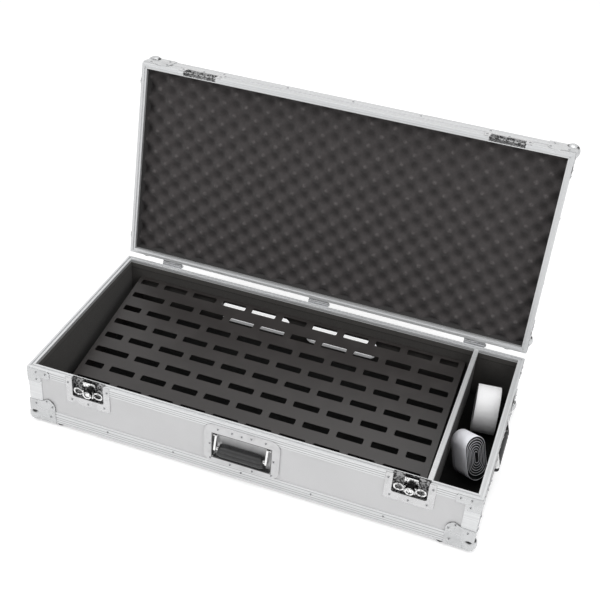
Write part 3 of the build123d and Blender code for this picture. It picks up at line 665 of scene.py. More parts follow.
@dataclass(frozen=True)
class HandlePlating(RecessPlating):
    """Plating of a handle's plate and pan, with a painted shadow line round the recess's mouth."""

    axis: int = 0
    centre: float = 0.0
    level: float = 0.081
    half_width: float = 0.063
    half_height: float = 0.032
    line: float = 0.0005

    def shade(self, tree: Tree, waves: Value) -> Value:
        """Painted shadow along the mouth, where the larger of two distances from its sides is small."""
        parts = closed(tree, self.member)
        side = abs(parts[self.axis] - self.centre) - self.half_width
        side = side.most(abs(parts[2] - self.level) - self.half_height)
        beside = abs(side - self.line).eased(self.line, 3 * self.line)
        return super().shade(tree, waves) * (beside * 0.85 + 0.15)


@dataclass(frozen=True)
class LatchPlating(BrightPlating):
    """Plating of the latch's moving parts, with a painted reflection that is bright on what faces the front
    only.
    """

    def shade(self, tree: Tree, waves: Value) -> Value:
        """Painted reflection: bright where the surface's direction is close to straight forwards, in
        patches.
        """
        lumps = tree.noise(tree.place(), 300.0, 2.0).eased(0.38, 0.56)
        return abs(tree.normal()[1] + (waves - 0.5) * 0.4).eased(0.4, 0.97) * (lumps * 0.75 + 0.25)


@dataclass(frozen=True)
class MouldedRubber(Finish):
    """Black moulded rubber with a fine matt grain."""

    def dress(self, tree: Tree) -> None:
        """Fine grain, dusted lighter in patches."""
        place = tree.place()
        dust = tree.noise(place, 60.0, 4.0, 0.6).eased(0.45, 0.8)
        grain = tree.noise(place, 2600.0, 2.0)
        colour = tree.mixed(self.toned(1.0), self.toned(1.9), dust)
        tree.finish(colour, grain * 0.16 + (self.roughness - 0.08), grain, 0.00008)


@dataclass(frozen=True)
class Felt(Finish):
    """Pressed felt: matted fibres with pale lint and a soft sheen."""

    banded: bool = False

    def constants(self, shader: bpy.types.Node) -> None:
        """Adds the sheen of the raised fibres."""
        super().constants(shader)
        shader.inputs["Sheen Weight"].default_value = 0.12
        shader.inputs["Sheen Roughness"].default_value = 0.6
        shader.inputs["Specular IOR Level"].default_value = 0.08

    def dress(self, tree: Tree) -> None:
        """Two layers of stretched fibres cross under a mottle; the banded lining gets painted shade near
        the floor and under the band's lower edge, and is a little darker below the band.
        """
        one = tree.noise(tree.place((0, 0, 0.5), (1.0, 3.2, 1.4)), 900.0, 3.0, 0.7)
        two = tree.noise(tree.place((0.6, 0.4, -0.7), (3.0, 1.0, 1.0)), 800.0, 3.0, 0.7)
        mottle = tree.noise(tree.place(), 120.0, 4.0, 0.65)
        fibres = one * 0.5 + two * 0.5
        tone = fibres.eased(0.35, 0.65) * 0.6 + mottle * 0.4
        colour = tree.mixed(self.toned(0.62), self.toned(1.5), tone)
        if self.banded:
            # Painted shade: near black at the floor, fading out 30 mm up, with a painted shadow line along
            # the band's lower edge; the wall below the band is a little darker.
            height = tree.parts(tree.place())[2]
            band_z = CASE.rim_z - CASE.band_depth
            above = height.eased(CASE.floor_z, CASE.floor_z + 0.03)
            lower = 1 - height.eased(band_z - 0.0006, band_z + 0.0006)
            edge = 1 - abs(height - band_z).eased(0.0006, 0.0024)
            colour = tree.mixed(self.toned(0.05), colour, above * (1 - lower * 0.2) * (1 - edge * 0.45))
        tree.finish(colour, self.roughness, fibres + mottle * 0.5, 0.0004)


@dataclass(frozen=True)
class OpenCellFoam(Finish):
    """Dark foam with fine open cells."""

    def constants(self, shader: bpy.types.Node) -> None:
        """Keeps its gloss low."""
        super().constants(shader)
        shader.inputs["Specular IOR Level"].default_value = 0.15
        shader.inputs["Sheen Weight"].default_value = 0.12

    def dress(self, tree: Tree) -> None:
        """Cells over a faint cloud, with painted shade in the pits and a painted highlight on the peaks."""
        place = tree.place()
        cells = tree.cells(place, 1100.0)
        cloud = tree.noise(place, 25.0, 3.0)
        grain = tree.noise(place, 1500.0, 2.0, 0.7)
        tone = cells.eased(0.1, 0.7) * 0.5 + grain * 0.3 + cloud * 0.2
        colour = tree.mixed(self.toned(0.75), self.toned(1.3), tone)
        peak = tree.attribute("peak")
        lint = tree.noise(place, 260.0, 4.0, 0.7)
        # Painted shade in the pits, broken up by the lint noise.
        raised = peak.eased(-0.2, 0.5) * 0.75 + lint.eased(0.35, 0.65) * 0.25
        colour = tree.mixed(self.toned(0.5), colour, raised)
        # Painted highlight on the highest peaks, broken up by the lint noise.
        painted_peak_light = peak.eased(0.84, 1.0) * lint.eased(0.3, 0.65) * 0.7
        colour = tree.mixed(colour, self.toned(2.2), painted_peak_light)
        tree.finish(colour, self.roughness, cells + grain * 0.5, 0.0003)


@dataclass(frozen=True)
class PowderCoat(Finish):
    """Satin black powder coat with a fine orange peel."""

    def dress(self, tree: Tree) -> None:
        """Orange peel, with a little dust."""
        place = tree.place()
        peel = tree.noise(place, 900.0, 2.0, 0.5)
        dust = tree.noise(place, 20.0, 5.0, 0.6).eased(0.4, 0.8)
        colour = tree.mixed(self.toned(1.0), self.toned(1.25), dust)
        tree.finish(colour, peel * 0.12 + dust * 0.08 + (self.roughness - 0.08), peel, 0.00008)


class Pile(Enum):
    """What stands on a fastening tape."""

    HOOKS = "hooks"
    LOOPS = "loops"


@dataclass(frozen=True)
class FasteningTape(Finish):
    """Pale woven tape, with rows of hooks or a brushed pile of loops."""

    pile: Pile = Pile.HOOKS

    def constants(self, shader: bpy.types.Node) -> None:
        """Adds a soft sheen."""
        super().constants(shader)
        shader.inputs["Sheen Weight"].default_value = 0.2
        shader.inputs["Specular IOR Level"].default_value = 0.3

    def dress(self, tree: Tree) -> None:
        """Formula: rows of the weave are sines of the tape's own length and width.

        The UV map counts millimetres along and across the tape. Faces of the inner windings get painted
        shade.
        """
        along, width, _ = tree.parts(tree.place(uv=True))
        step = 1.5 if self.pile is Pile.HOOKS else 0.9
        weave = (along * (2 * math.pi / step)).sine() * (width * (2 * math.pi / step)).sine()
        fluff = tree.noise(tree.place(), 1300.0, 3.0, 0.7)
        cloud = tree.noise(tree.place(), 60.0, 2.0)
        share = 0.5 if self.pile is Pile.HOOKS else 0.15
        tone = weave * (share / 2) + fluff * (1 - share) + share / 2
        tone = tone.eased(0.2, 0.8) * 0.7 + cloud * 0.3
        colour = tree.mixed(self.toned(0.86), self.toned(1.07), tone)
        # Painted shade on faces that the "outer" layer marks nought, between the windings.
        colour = tree.mixed(self.toned(0.02), colour, tree.attribute("outer").eased(0.3, 0.9))
        tree.finish(colour, self.roughness, weave * share + fluff, 0.0002)


BOARD = LaminatedBoard("grey laminate", display(204, 204, 205), 0.42)
BASE_ALUMINIUM = BrushedAluminium("base aluminium", display(217, 218, 219), 0.34, 0.4)
LID_ALUMINIUM = BrushedAluminium("lid aluminium", display(214, 215, 216), 0.34, 0.4, Member.LID)
BRIGHT = BrightPlating("bright plating", display(230, 230, 230), 0.1, 1.0, 0.00035, 0.006, 0.3, 0.85)
DISH_PLATE = RecessPlating("dish plating", display(202, 202, 203), 0.22, 0.6, 0.0003, glints=0.55)
KEEPER_PLATE = RecessPlating(
    "keeper plating", display(206, 206, 207), 0.22, 0.7, 0.0003, member=Member.LID, glints=0.75
)
FRONT_PAN = HandlePlating(
    "front pan plating", display(204, 204, 205), 0.3, 0.3, 0.0003, deepest=0.003, centre=CASE.handle_x
)
END_PAN = HandlePlating(
    "end pan plating", display(204, 204, 205), 0.3, 0.3, 0.0003, deepest=0.003, axis=1, centre=CASE.middle_y
)
LATCH_METAL = LatchPlating("latch plating", display(235, 235, 235), 0.1, 1.0, 0.0004, 0.006, 0.2, 0.8)
CORNER_PLATE = BrightPlating("corner plating", display(198, 199, 200), 0.22, 0.6)
HINGE_PLATE = BrightPlating("hinge plating", display(190, 191, 193), 0.3, 0.9)
RIVET_METAL = BrightPlating("rivet metal", display(186, 187, 189), 0.25, 0.9, 0.0002, 0.003, 0.25, 0.85)
GRIP_RUBBER = MouldedRubber("grip rubber", display(30, 30, 31), 0.48)
FOOT_RUBBER = MouldedRubber("foot rubber", display(22, 22, 22), 0.6)
LINING_FELT = Felt("lining felt", display(66, 64, 62), 0.95, 0.0, True)
DIVIDER_FELT = Felt("divider felt", display(50, 48, 48), 0.95)
LID_FELT = Felt("lid felt", display(48, 46, 46), 0.95)
LID_FOAM = OpenCellFoam("lid foam", display(72, 69, 69), 0.95)
PLATE_COAT = PowderCoat("plate coat", display(46, 43, 42), 0.36)
HOOK_TAPE = FasteningTape("hook tape", display(243, 243, 250), 0.75, 0.0, Pile.HOOKS)
LOOP_TAPE = FasteningTape("loop tape", display(248, 248, 250), 0.8, 0.0, Pile.LOOPS)


# ---------------------------------------------------------------- felt lining
@dataclass
class FeltLining:
    """Felt glued into the base: floor, four walls and the doubled band below the rim."""

    thickness: float = 0.0011
    step: float = 0.012
    ripple: float = 0.00012
    wavelength: float = 0.06
    opening_width: float = 0.170
    opening_height: float = 0.052
    opening_corner: float = 0.015
    opening_z: float = 0.067
    openings: tuple[float, ...] = (-0.145, 0.0675)
    cell_half: float = 0.102
    cell_points: int = 96
    narrowest: float = 0.001
    seat: float = 0.0003
    band_soft: float = 0.0004
    band_back: float = -0.0012
    band_steps: int = 24

    def sheet(self, shell: Shell, origin: Vector, first: Vector, second: Vector, outward: Vector) -> None:
        """Adds a rectangle of felt.

        Formula: origin plus shares of two edges, plus low ripples across the sheet that die
        out at its edges; its back lies one thickness further out.

        Args:
            shell: Where it goes.
            origin: One corner.
            first: Edge vector from the corner.
            second: The other edge vector.
            outward: Unit vector into the board.
        """
        counts = [max(3, round(float(np.linalg.norm(edge)) / self.step)) for edge in (first, second)]
        u, v = np.meshgrid(spread(0, 1, counts[0]), spread(0, 1, counts[1]), indexing="ij")
        along, up = u * np.linalg.norm(first), v * np.linalg.norm(second)
        fade = np.clip(16 * u * (1 - u), 0, 1) * np.clip(16 * v * (1 - v), 0, 1)
        lift = ripples(along, up, self.wavelength, self.ripple) * fade
        plain = np.array(origin) + u[..., None] * np.array(first) + v[..., None] * np.array(second)
        away = np.array(outward)
        shell.slab(plain - lift[..., None] * away, plain + self.thickness * away)

    def pierced(self, shell: Shell, x: float, y: float, low: float, high: float) -> None:
        """Adds the rear wall's felt round one cable opening.

        Formula: rings blend from the opening's round-cornered outline to the cell's
        rectangle, point by point at equal angles.
        """
        count = self.cell_points
        hole = rounded_outline(self.opening_width, self.opening_height, self.opening_corner, count)
        hole = hole + np.array([0.0, self.opening_z])
        middle = (low + high) / 2
        edge = rounded_outline(2 * self.cell_half, high - low, 0.0, count) + np.array([0.0, middle])
        share = spread(0, 1, 5)[:, None, None]
        flat = hole[None] * (1 - share) + edge[None] * share
        face = np.stack([flat[..., 0] + x, np.full(flat.shape[:2], y), flat[..., 1]], axis=-1)
        shell.slab(face, face + np.array([0.0, self.thickness, 0.0]), ring=True)

    def walls(self, shell: Shell) -> None:
        """Adds the floor and the four walls up to the band."""
        x, low = CASE.half_length - CASE.lined, CASE.floor_z
        front, back = CASE.front_y + CASE.lined, CASE.back_y - CASE.lined
        high = CASE.rim_z - CASE.rim_lip
        long, deep, up = (2 * x, 0.0, 0.0), (0.0, back - front, 0.0), (0.0, 0.0, high - low)
        rearwards = (0.0, 1.0, 0.0)
        self.sheet(shell, (-x, front, low), long, deep, (0.0, 0.0, -1.0))
        self.sheet(shell, (-x, front, low), long, up, (0.0, -1.0, 0.0))
        self.sheet(shell, (-x, front, low), deep, up, (-1.0, 0.0, 0.0))
        self.sheet(shell, (x, front, low), deep, up, (1.0, 0.0, 0.0))
        reach = -x
        for place in self.openings:
            length = place - self.cell_half - reach
            if length > self.narrowest:
                self.sheet(shell, (reach, back, low), (length, 0.0, 0.0), up, rearwards)
            self.pierced(shell, place, back, low, high)
            reach = place + self.cell_half
        self.sheet(shell, (reach, back, low), (x - reach, 0.0, 0.0), up, rearwards)

    def band(self, shell: Shell) -> None:
        """Adds the doubled strip along the top of each wall, broken at the divider."""
        low, high = CASE.rim_z - CASE.band_depth, CASE.rim_z - CASE.rim_lip
        proud, back, soft = CASE.band_extra, self.band_back, self.band_soft
        section = np.array(
            [
                (back, low), (proud - soft, low), (proud, low + soft),
                (proud, high - soft), (proud - soft, high), (back, high),
            ]
        )
        x = CASE.half_length - CASE.lined
        front, rear = CASE.front_y + CASE.lined, CASE.back_y - CASE.lined
        gap = CASE.cap_width / 2 + self.seat
        runs = []
        for left, right in ((-x, CASE.divider_x - gap), (CASE.divider_x + gap, x)):
            runs.append(((left, front), (right, front), (0.0, 1.0)))
            runs.append(((left, rear), (right, rear), (0.0, -1.0)))
        runs.append(((-x, front), (-x, rear), (1.0, 0.0)))
        runs.append(((x, front), (x, rear), (-1.0, 0.0)))
        for run in runs:
            shell.tube(shell.strip(*run, section, self.band_steps))

    def build(self) -> bpy.types.Object:
        """The whole lining, riding on the base in place of its plain solid."""
        shell = Shell("case_lining")
        self.walls(shell)
        self.band(shell)
        piece = shell.build(LINING_FELT)
        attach(piece, "case_base")
        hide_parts("base_lining")
        return piece


# ---------------------------------------------------------------- lid foam
@dataclass
class EggCrateFoam:
    """Egg-crate foam that lines the lid's top."""

    thickness: float = 0.028
    relief: float = 0.015
    pitch_along: float = 0.052
    pitch_across: float = 0.049
    gap: float = 0.0003
    step: float = 0.0027
    uneven: float = 0.06
    uneven_length: float = 0.11
    sharpness: float = 1.15

    def build(self) -> bpy.types.Object:
        """The foam as one closed cushion.

        Formula: the height is a product of two cosines, which has peaks in staggered rows.
        It is raised to a power just above 1, so that peaks are narrower than pits.
        """
        halves = (CASE.half_length - CASE.board - self.gap, CASE.depth / 2 - CASE.board - self.gap)
        lines = [spread(-half, half, round(2 * half / self.step)) for half in halves]
        x, y = np.meshgrid(*lines, indexing="ij")
        wave = np.cos(2 * math.pi * x / self.pitch_along) * np.cos(2 * math.pi * y / self.pitch_across)
        wave = wave + self.uneven * ripples(x, y, self.uneven_length, 1.0)
        share = np.clip(0.5 + 0.5 * wave, 0.0, 1.0) ** self.sharpness
        back_z = CASE.lid_top_z - CASE.board
        depth = self.thickness - self.relief * (1 - share)
        place_y = y + CASE.middle_y
        face = np.stack([x, place_y, back_z - depth], axis=-1)
        back = np.stack([x, place_y, np.full_like(x, back_z)], axis=-1)
        shell = Shell("lid_foam_liner")
        shell.slab(CASE.opened(face), CASE.opened(back))
        piece = shell.build(LID_FOAM, crease=60.0)
        peak = np.concatenate([share.ravel(), np.zeros(share.size)])
        layer = piece.data.attributes.new("peak", "FLOAT", "POINT")
        layer.data.foreach_set("value", peak[: len(piece.data.vertices)].astype(np.float32))
        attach(piece, "lid")
        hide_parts("lid_foam")
        return piece


# ---------------------------------------------------------------- lid walls
@dataclass
class LidWallFelt:
    """Felt strips on the lid's inner walls, between its rim and the foam."""

    thickness: float = 0.0012
    rim_web: float = 0.008
    clear: float = 0.0001
    foam: float = 0.012
    steps: int = 32

    def build(self) -> bpy.types.Object:
        """Four strips as one piece that rides on the lid.

        Formula: a thin rectangular section carried along each wall of the closed lid.
        """
        low, high = CASE.lid_z + self.rim_web, CASE.lid_top_z - CASE.board - self.foam
        inner = self.clear + self.thickness
        section = np.array([(self.clear, low), (inner, low), (inner, high), (self.clear, high)])
        x, middle, deep = CASE.half_length - CASE.board, CASE.middle_y, CASE.depth / 2 - CASE.board
        end = deep - inner
        runs = (
            ((-x, middle - deep), (x, middle - deep), (0.0, 1.0)),
            ((-x, middle + deep), (x, middle + deep), (0.0, -1.0)),
            ((-x, middle - end), (-x, middle + end), (1.0, 0.0)),
            ((x, middle - end), (x, middle + end), (-1.0, 0.0)),
        )
        shell = Shell("lid_wall_felt")
        for run in runs:
            shell.tube(CASE.opened(shell.strip(*run, section, self.steps)))
        piece = shell.build(LID_FELT)
        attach(piece, "lid")
        return piece


# ---------------------------------------------------------------- rolls of tape
@dataclass
class TapeRoll:
    """A strip of fastening tape wound on itself without a core."""

    name: str
    node: str
    slot: str
    finish: FasteningTape
    thickness: float
    pitch: float
    half_turns: int
    radius: float
    yaw: float
    width: float = 0.050
    straight: float = 0.0
    droop: float = 0.0
    lean: float = 0.0
    from_front: float = 0.0
    from_right: float = 0.0
    seat: float = 0.0003
    arc_steps: int = 20
    stagger: float = 0.0006
    slimmer: float = 0.0
    # Per point of the section, one keeps the tape's colour and nought takes painted shade; open_side is for
    # the last two half turns.
    edges: tuple[int, ...] = (1, 1, 0, 0, 0, 0, 1, 1, 0, 0, 0, 0)
    open_side: tuple[int, ...] = (1, 1, 1, 1, 1, 1, 1, 1, 0, 0, 0, 0)

    def section(self) -> Points:
        """The strip's section with chamfered edges, as places outwards and across its width."""
        half, edge, wide = self.thickness / 2, self.thickness / 3, self.width / 2
        return np.array(
            [
                (-half + edge, -wide), (half - edge, -wide), (half, -wide + edge), (half, -wide / 3),
                (half, wide / 3), (half, wide - edge), (half - edge, wide), (-half + edge, wide),
                (-half, wide - edge), (-half, wide / 3), (-half, -wide / 3), (-half, -wide + edge),
            ]
        )

    def frame(self) -> tuple[Points, Points, Points, Points]:
        """The roll's middle, its two flat directions and its axis."""
        yaw, lean = math.radians(self.yaw), math.radians(self.lean)
        if self.straight:
            flat = math.cos(lean)
            axis = np.array([math.cos(yaw) * flat, -math.sin(yaw) * flat, math.sin(lean)])
            first = np.array([math.sin(yaw), math.cos(yaw), 0.0])
            second = np.cross(axis, first)
            side = self.radius * math.hypot(first[0], second[0])
            side += self.straight / 2 * abs(second[0]) + self.width / 2 * axis[0]
            drop = (self.radius + self.straight / 2 + self.droop) * second[2] + self.width / 2 * axis[2]
            x = CASE.divider_x + CASE.cap_width / 2 + self.seat + side
            z = CASE.floor_z + self.seat + drop
        else:
            axis = np.array([math.cos(yaw), math.sin(yaw), 0.0])
            first = np.array([-math.sin(yaw), math.cos(yaw), 0.0])
            second = np.cross(axis, first)
            x = CASE.half_length - self.from_right
            z = CASE.floor_z + self.seat + self.radius
        return np.array([x, CASE.front_y + self.from_front, z]), first, second, axis

    def line(self) -> tuple[Points, Points, Points]:
        """The strip's middle line, as seen along the roll's axis.

        Formula: half circles about two centres half a pitch apart, each half a pitch wider
        than the last, drawn out by straight runs between upper and lower halves.

        Returns:
            Points (n, 2), outward unit vectors (n, 2) and the turn number at each point.
        """
        inner = self.radius - self.thickness / 2 - self.pitch * (self.half_turns - 1) / 2
        turn = np.repeat(np.arange(self.half_turns), self.arc_steps + 1)
        step = np.tile(spread(0.0, 1.0, self.arc_steps + 1), self.half_turns)
        angle = math.pi * (turn + step)
        radius = inner + turn * self.pitch / 2
        over = np.where(turn % 2 == 0, 1.0, -1.0)
        centre = np.where(turn % 2 == 0, 0.0, self.pitch / 2)
        straight = self.straight - self.slimmer * (1 - turn / (self.half_turns - 1))
        level = over * straight / 2 - np.where(turn == self.half_turns - 1, self.droop, 0.0)
        out = np.stack([np.cos(angle), np.sin(angle)], axis=-1)
        line = out * radius[:, None] + np.stack([centre, level], axis=-1)
        keep = np.ones(len(line), bool)
        keep[1:] = np.linalg.norm(np.diff(line, axis=0), axis=1) > 1e-7
        return line[keep], out[keep], (turn + step)[keep]

    def build(self) -> bpy.types.Object:
        """The roll, with its UV map in millimetres along and across the tape."""
        middle, first, second, axis = self.frame()
        line, out, turn = self.line()
        shift = self.stagger * np.sin(1.7 * turn) * np.clip(turn / self.half_turns, 0.2, 1.0)
        path = middle + line[:, :1] * first + line[:, 1:] * second + shift[:, None] * axis
        outward = out[:, :1] * first + out[:, 1:] * second
        shell = Shell(self.name)
        shell.tube(swept(path, outward, axis, self.section()))
        piece = shell.build(self.finish, crease=50.0)
        self.unroll(piece, middle, axis, path, turn)
        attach(piece, self.node)
        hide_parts(self.node)
        return piece

    def unroll(
        self, piece: bpy.types.Object, middle: Points, axis: Points, path: Points, turn: Points
    ) -> None:
        """Gives the strip its UV map, and marks on its "outer" layer what is left out of the painted shade.

        Formula: each vertex takes the length of the path up to its own ring, because rings
        keep their order in the mesh. Inner windings keep only their edges out of the painted shade.
        """
        mesh = piece.data
        place = np.empty(len(mesh.vertices) * 3)
        mesh.vertices.foreach_get("co", place)
        place = place.reshape(-1, 3)
        length = np.concatenate([[0.0], np.cumsum(np.linalg.norm(np.diff(path, axis=0), axis=1))])
        ring = np.minimum(np.arange(len(place)) // len(self.edges), len(length) - 1)
        along = length[ring] * 1000
        across = (place - middle) @ axis * 1000
        corner = np.empty(len(mesh.loops), np.int32)
        mesh.loops.foreach_get("vertex_index", corner)
        # The last two half turns keep their outer side out of the painted shade.
        last = turn[:, None] >= self.half_turns - 2
        facing = np.where(last, self.open_side, self.edges).ravel()
        outer = mesh.attributes.new("outer", "FLOAT", "POINT")
        outer.data.foreach_set("value", facing[: len(place)].astype(np.float32))
        layer = mesh.uv_layers.new(name="tape")
        layer.data.foreach_set("uv", np.stack([along, across], axis=-1)[corner].astype(np.float32).ravel())


# ---------------------------------------------------------------- handle grips
@dataclass
class HandleGrip:
    """Moulded rubber grip: two lobes parted by a groove, on a bail's rod."""

    side: str
    origin: Points
    along: Points
    outward: Points
    length: float = 0.104
    height: float = 0.028
    thickness: float = 0.018
    corner: float = 0.007
    below: float = 0.0136
    outside: float = 0.0010
    slope: float = 0.006
    groove_depth: float = 0.0022
    groove_half: float = 0.0016
    end_round: float = 0.0022

    def build(self) -> bpy.types.Object:
        """The grip as a closed skin.

        Formula: a round-cornered outline, pinched along the front by a bell curve, is
        carried along the grip. It narrows towards each end, widens again as a quarter
        circle over the last end_round, and is shorter at the top by the slope.
        """
        outline = rounded_outline(self.thickness, self.height, self.corner, 96)
        pinch = self.groove_depth * np.exp(-((outline[:, 1] / self.groove_half) ** 2)) * (outline[:, 0] > 0)
        outline = outline - np.stack([pinch, np.zeros_like(pinch)], axis=-1)
        ease = spread(0.0, math.pi / 2, 7)
        inset = self.end_round * (1 - np.sin(ease))
        reach = self.length / 2 - self.end_round * (1 - np.sin(math.pi / 2 - ease))
        half = np.concatenate([reach[::-1], spread(reach[0], 0.0, 6)[1:-1]])
        place = np.concatenate([-half, [0.0], half[::-1]])
        margin = np.concatenate([inset, np.zeros(len(half) - len(inset))])
        margin = np.concatenate([margin, [0.0], margin[::-1]])
        order = np.argsort(place)
        place, margin = place[order], margin[order]
        size = np.array([self.thickness, self.height]) / 2
        shrink = 1 - margin[:, None, None] / size
        ring = outline[None] * shrink
        top = (ring[..., 1] / self.height + 0.5) * self.slope
        lengthwise = place[:, None] * (1 - top / (self.length / 2))
        up = np.array(UP)
        centre = self.origin + self.outward * self.outside - up * self.below
        points = centre + lengthwise[..., None] * self.along + ring[..., :1] * self.outward
        shell = Shell(f"{self.side}_grip_moulding")
        shell.tube(points + ring[..., 1:] * up)
        piece = shell.build(GRIP_RUBBER, crease=50.0)
        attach(piece, f"{self.side}_handle")
        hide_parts(f"{self.side}_handle_grip")
        return piece


# ---------------------------------------------------------------- rivets
@dataclass
class Rivets:
    """Domed rivets of one body, gathered into one piece."""

    name: str
    body: str
    radius: float = 0.0026
    height: float = 0.0012
    segments: int = 12
    places: list[tuple[Points, Points]] = field(default_factory=list)

    def add(self, point: Points, normal: Points, lid: bool) -> None:
        """Adds one rivet at a place on the surface, swung open with the lid where lid is true."""
        tip = point + normal
        if lid:
            point, tip = CASE.opened(point), CASE.opened(tip)
        self.places.append((point, tip - point))

    def build(self) -> bpy.types.Object:
        """All domes at once.

        Formula: rings about the rivet's axis, with radii and heights that follow a low
        dome with a dimple at its crown.
        """
        radii = np.array([0.0, 1.0, 0.97, 0.75, 0.5, 0.42, 0.0]) * self.radius
        rises = np.array([-0.1, -0.1, 0.35, 0.85, 1.0, 0.1, 0.1]) * self.height
        angle = spread(0, 2 * math.pi, self.segments + 1)[:-1]
        shell = Shell(self.name)
        for centre, normal in self.places:
            side = np.cross(normal, [0.3, 0.5, 0.8])
            side /= np.linalg.norm(side)
            other = np.cross(normal, side)
            spin = np.cos(angle)[:, None] * side + np.sin(angle)[:, None] * other
            shell.tube(centre + radii[:, None, None] * spin[None] + rises[:, None, None] * normal)
        piece = shell.build(RIVET_METAL, crease=50.0)
        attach(piece, self.body)
        return piece


# ---------------------------------------------------------------- carried-over nodes
@dataclass(frozen=True)
class NodeDressing:
    """Finishes for the CAD nodes that stay in view: the first pattern that fits a name counts."""

    patterns: tuple[tuple[str, Finish], ...] = (
        ("divider_panel", DIVIDER_FELT),
        ("*_panel", BOARD),
        ("lid_*_angles", LID_ALUMINIUM),
        ("lid_rim_profiles", LID_ALUMINIUM),
        ("base_*_angles", BASE_ALUMINIUM),
        ("base_rim_profiles", BASE_ALUMINIUM),
        ("divider_cap", BASE_ALUMINIUM),
        ("*_ball_corners", CORNER_PLATE),
        ("*_braces", CORNER_PLATE),
        ("front_handle_plate", FRONT_PAN),
        ("*_handle_plate", END_PAN),
        ("lid_keeper_*", KEEPER_PLATE),
        ("*_dish", DISH_PLATE),
        ("latch_*", LATCH_METAL),
        ("hinge_*", HINGE_PLATE),
        ("pedal_plate", PLATE_COAT),
        ("base_feet", FOOT_RUBBER),
        ("*", BRIGHT),
    )

    def dress(self) -> None:
        """Gives every shown node its material."""
        for name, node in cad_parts.items():
            if node.hide_render:
                continue
            finish = next(finish for pattern, finish in self.patterns if fnmatchcase(name, pattern))
            node.data.materials.clear()
            node.data.materials.append(finish.material())
            log.info("node %s wears %s", name, finish.name)


# ---------------------------------------------------------------- studio
@dataclass
class Studio:
    """White floor, soft lamps and the camera."""

    lens: float = 63.1
    azimuth: float = 16.69
    elevation: float = 35.38
    roll: float = 4.75
    sensor: float = 36.0
    far: float = 100.0
    camera_place: Vector = (0.5253, -1.73604, 1.5510)
    floor_half: float = 12.0
    floor_white: float = 0.9
    floor_glow: float = 0.3
    ambient: float = 0.62
    target: Vector = (0.0, 0.0, 0.15)
    lamps: tuple[tuple[str, Vector, float, float], ...] = (
        ("key", (-1.9, -2.0, 3.0), 2.4, 36.0),
        ("fill", (2.6, -1.6, 2.2), 2.2, 28.0),
        ("top", (0.2, 0.4, 3.4), 2.6, 34.0),
    )

    def stand(self, name: str, data: bpy.types.ID, axes: list[Points], place: Vector) -> bpy.types.Object:
        """Adds an object, such as a lamp, with its own x, y and z directions and its place."""
        matrix = np.eye(4)
        matrix[:3, :3] = np.stack(axes, axis=-1)
        matrix[:3, 3] = place
        standing = bpy.data.objects.new(name, data)
        standing.matrix_world = Matrix(matrix.tolist())
        bpy.context.scene.collection.objects.link(standing)
        return standing

    def camera(self) -> None:
        """Sets the camera by its three angles: the back vector, then right and up, rolled."""
        azimuth, elevation, roll = (math.radians(a) for a in (self.azimuth, self.elevation, self.roll))
        flat = math.cos(elevation)
        back = np.array([math.sin(azimuth) * flat, -math.cos(azimuth) * flat, math.sin(elevation)])
        right = np.array([math.cos(azimuth), math.sin(azimuth), 0.0])
        up = np.cross(back, right)
        rolled = math.cos(roll) * right + math.sin(roll) * up
        upright = math.cos(roll) * up - math.sin(roll) * right
        data = bpy.data.cameras.new("camera")
        data.lens = self.lens
        data.sensor_width = self.sensor
        data.clip_end = self.far
        bpy.context.scene.camera = self.stand("camera", data, [rolled, upright, back], self.camera_place)

    def seen(self, tree: bpy.types.NodeTree) -> bpy.types.NodeSocket:
        """One for camera, glossy and transmitted rays, else nought."""
        path = tree.nodes.new("ShaderNodeLightPath")
        total = path.outputs["Is Camera Ray"]
        for ray in ("Is Glossy Ray", "Is Transmission Ray"):
            join = tree.nodes.new("ShaderNodeMath")
            join.operation = "MAXIMUM"
            tree.links.new(total, join.inputs[0])
            tree.links.new(path.outputs[ray], join.inputs[1])
            total = join.outputs[0]
        return total

    def world(self) -> None:
        """White world that lights softly and is seen at full strength."""
        world = bpy.data.worlds.new("studio")
        bpy.context.scene.world = world
        world.use_nodes = True
        tree = world.node_tree
        back = tree.nodes["Background"]
        back.inputs["Color"].default_value = (1.0, 1.0, 1.0, 1.0)
        level = tree.nodes.new("ShaderNodeMapRange")
        level.inputs["To Min"].default_value = self.ambient
        level.inputs["To Max"].default_value = 1.0
        tree.links.new(self.seen(tree), level.inputs["Value"])
        tree.links.new(level.outputs[0], back.inputs["Strength"])

    def floor(self) -> None:
        """White floor that glows a little towards the camera, so only shadows stay grey."""
        half = self.floor_half
        mesh = bpy.data.meshes.new("floor")
        corners = [(-half, -half, 0), (half, -half, 0), (half, half, 0), (-half, half, 0)]
        mesh.from_pydata(corners, [], [(0, 1, 2, 3)])
        tree = Tree("floor white")
        shader = tree.shader
        shader.inputs["Base Color"].default_value = (*3 * (self.floor_white,), 1.0)
        shader.inputs["Roughness"].default_value = 0.9
        shader.inputs["Specular IOR Level"].default_value = 0.0
        shader.inputs["Emission Color"].default_value = (1.0, 1.0, 1.0, 1.0)
        seen = Value(tree, self.seen(tree.material.node_tree))
        tree.feed(shader.inputs["Emission Strength"], seen * self.floor_glow)
        mesh.materials.append(tree.material)
        plane = bpy.data.objects.new("floor", mesh)
        bpy.context.scene.collection.objects.link(plane)

    def lamp(self, name: str, place: Vector, size: float, power: float) -> None:
        """Adds one square soft lamp that faces the case."""
        data = bpy.data.lights.new(name, "AREA")
        data.shape = "SQUARE"
        data.size = size
        data.energy = power
        away = np.array(place) - np.array(self.target)
        away /= np.linalg.norm(away)
        side = np.cross(UP, away)
        side /= np.linalg.norm(side)
        self.stand(name, data, [side, np.cross(away, side), away], place)

    def build(self) -> None:
        """The whole studio."""
        bpy.context.scene.view_settings.view_transform = "Standard"
        self.camera()
        self.world()
        self.floor()
        for lamp in self.lamps:
            self.lamp(*lamp)


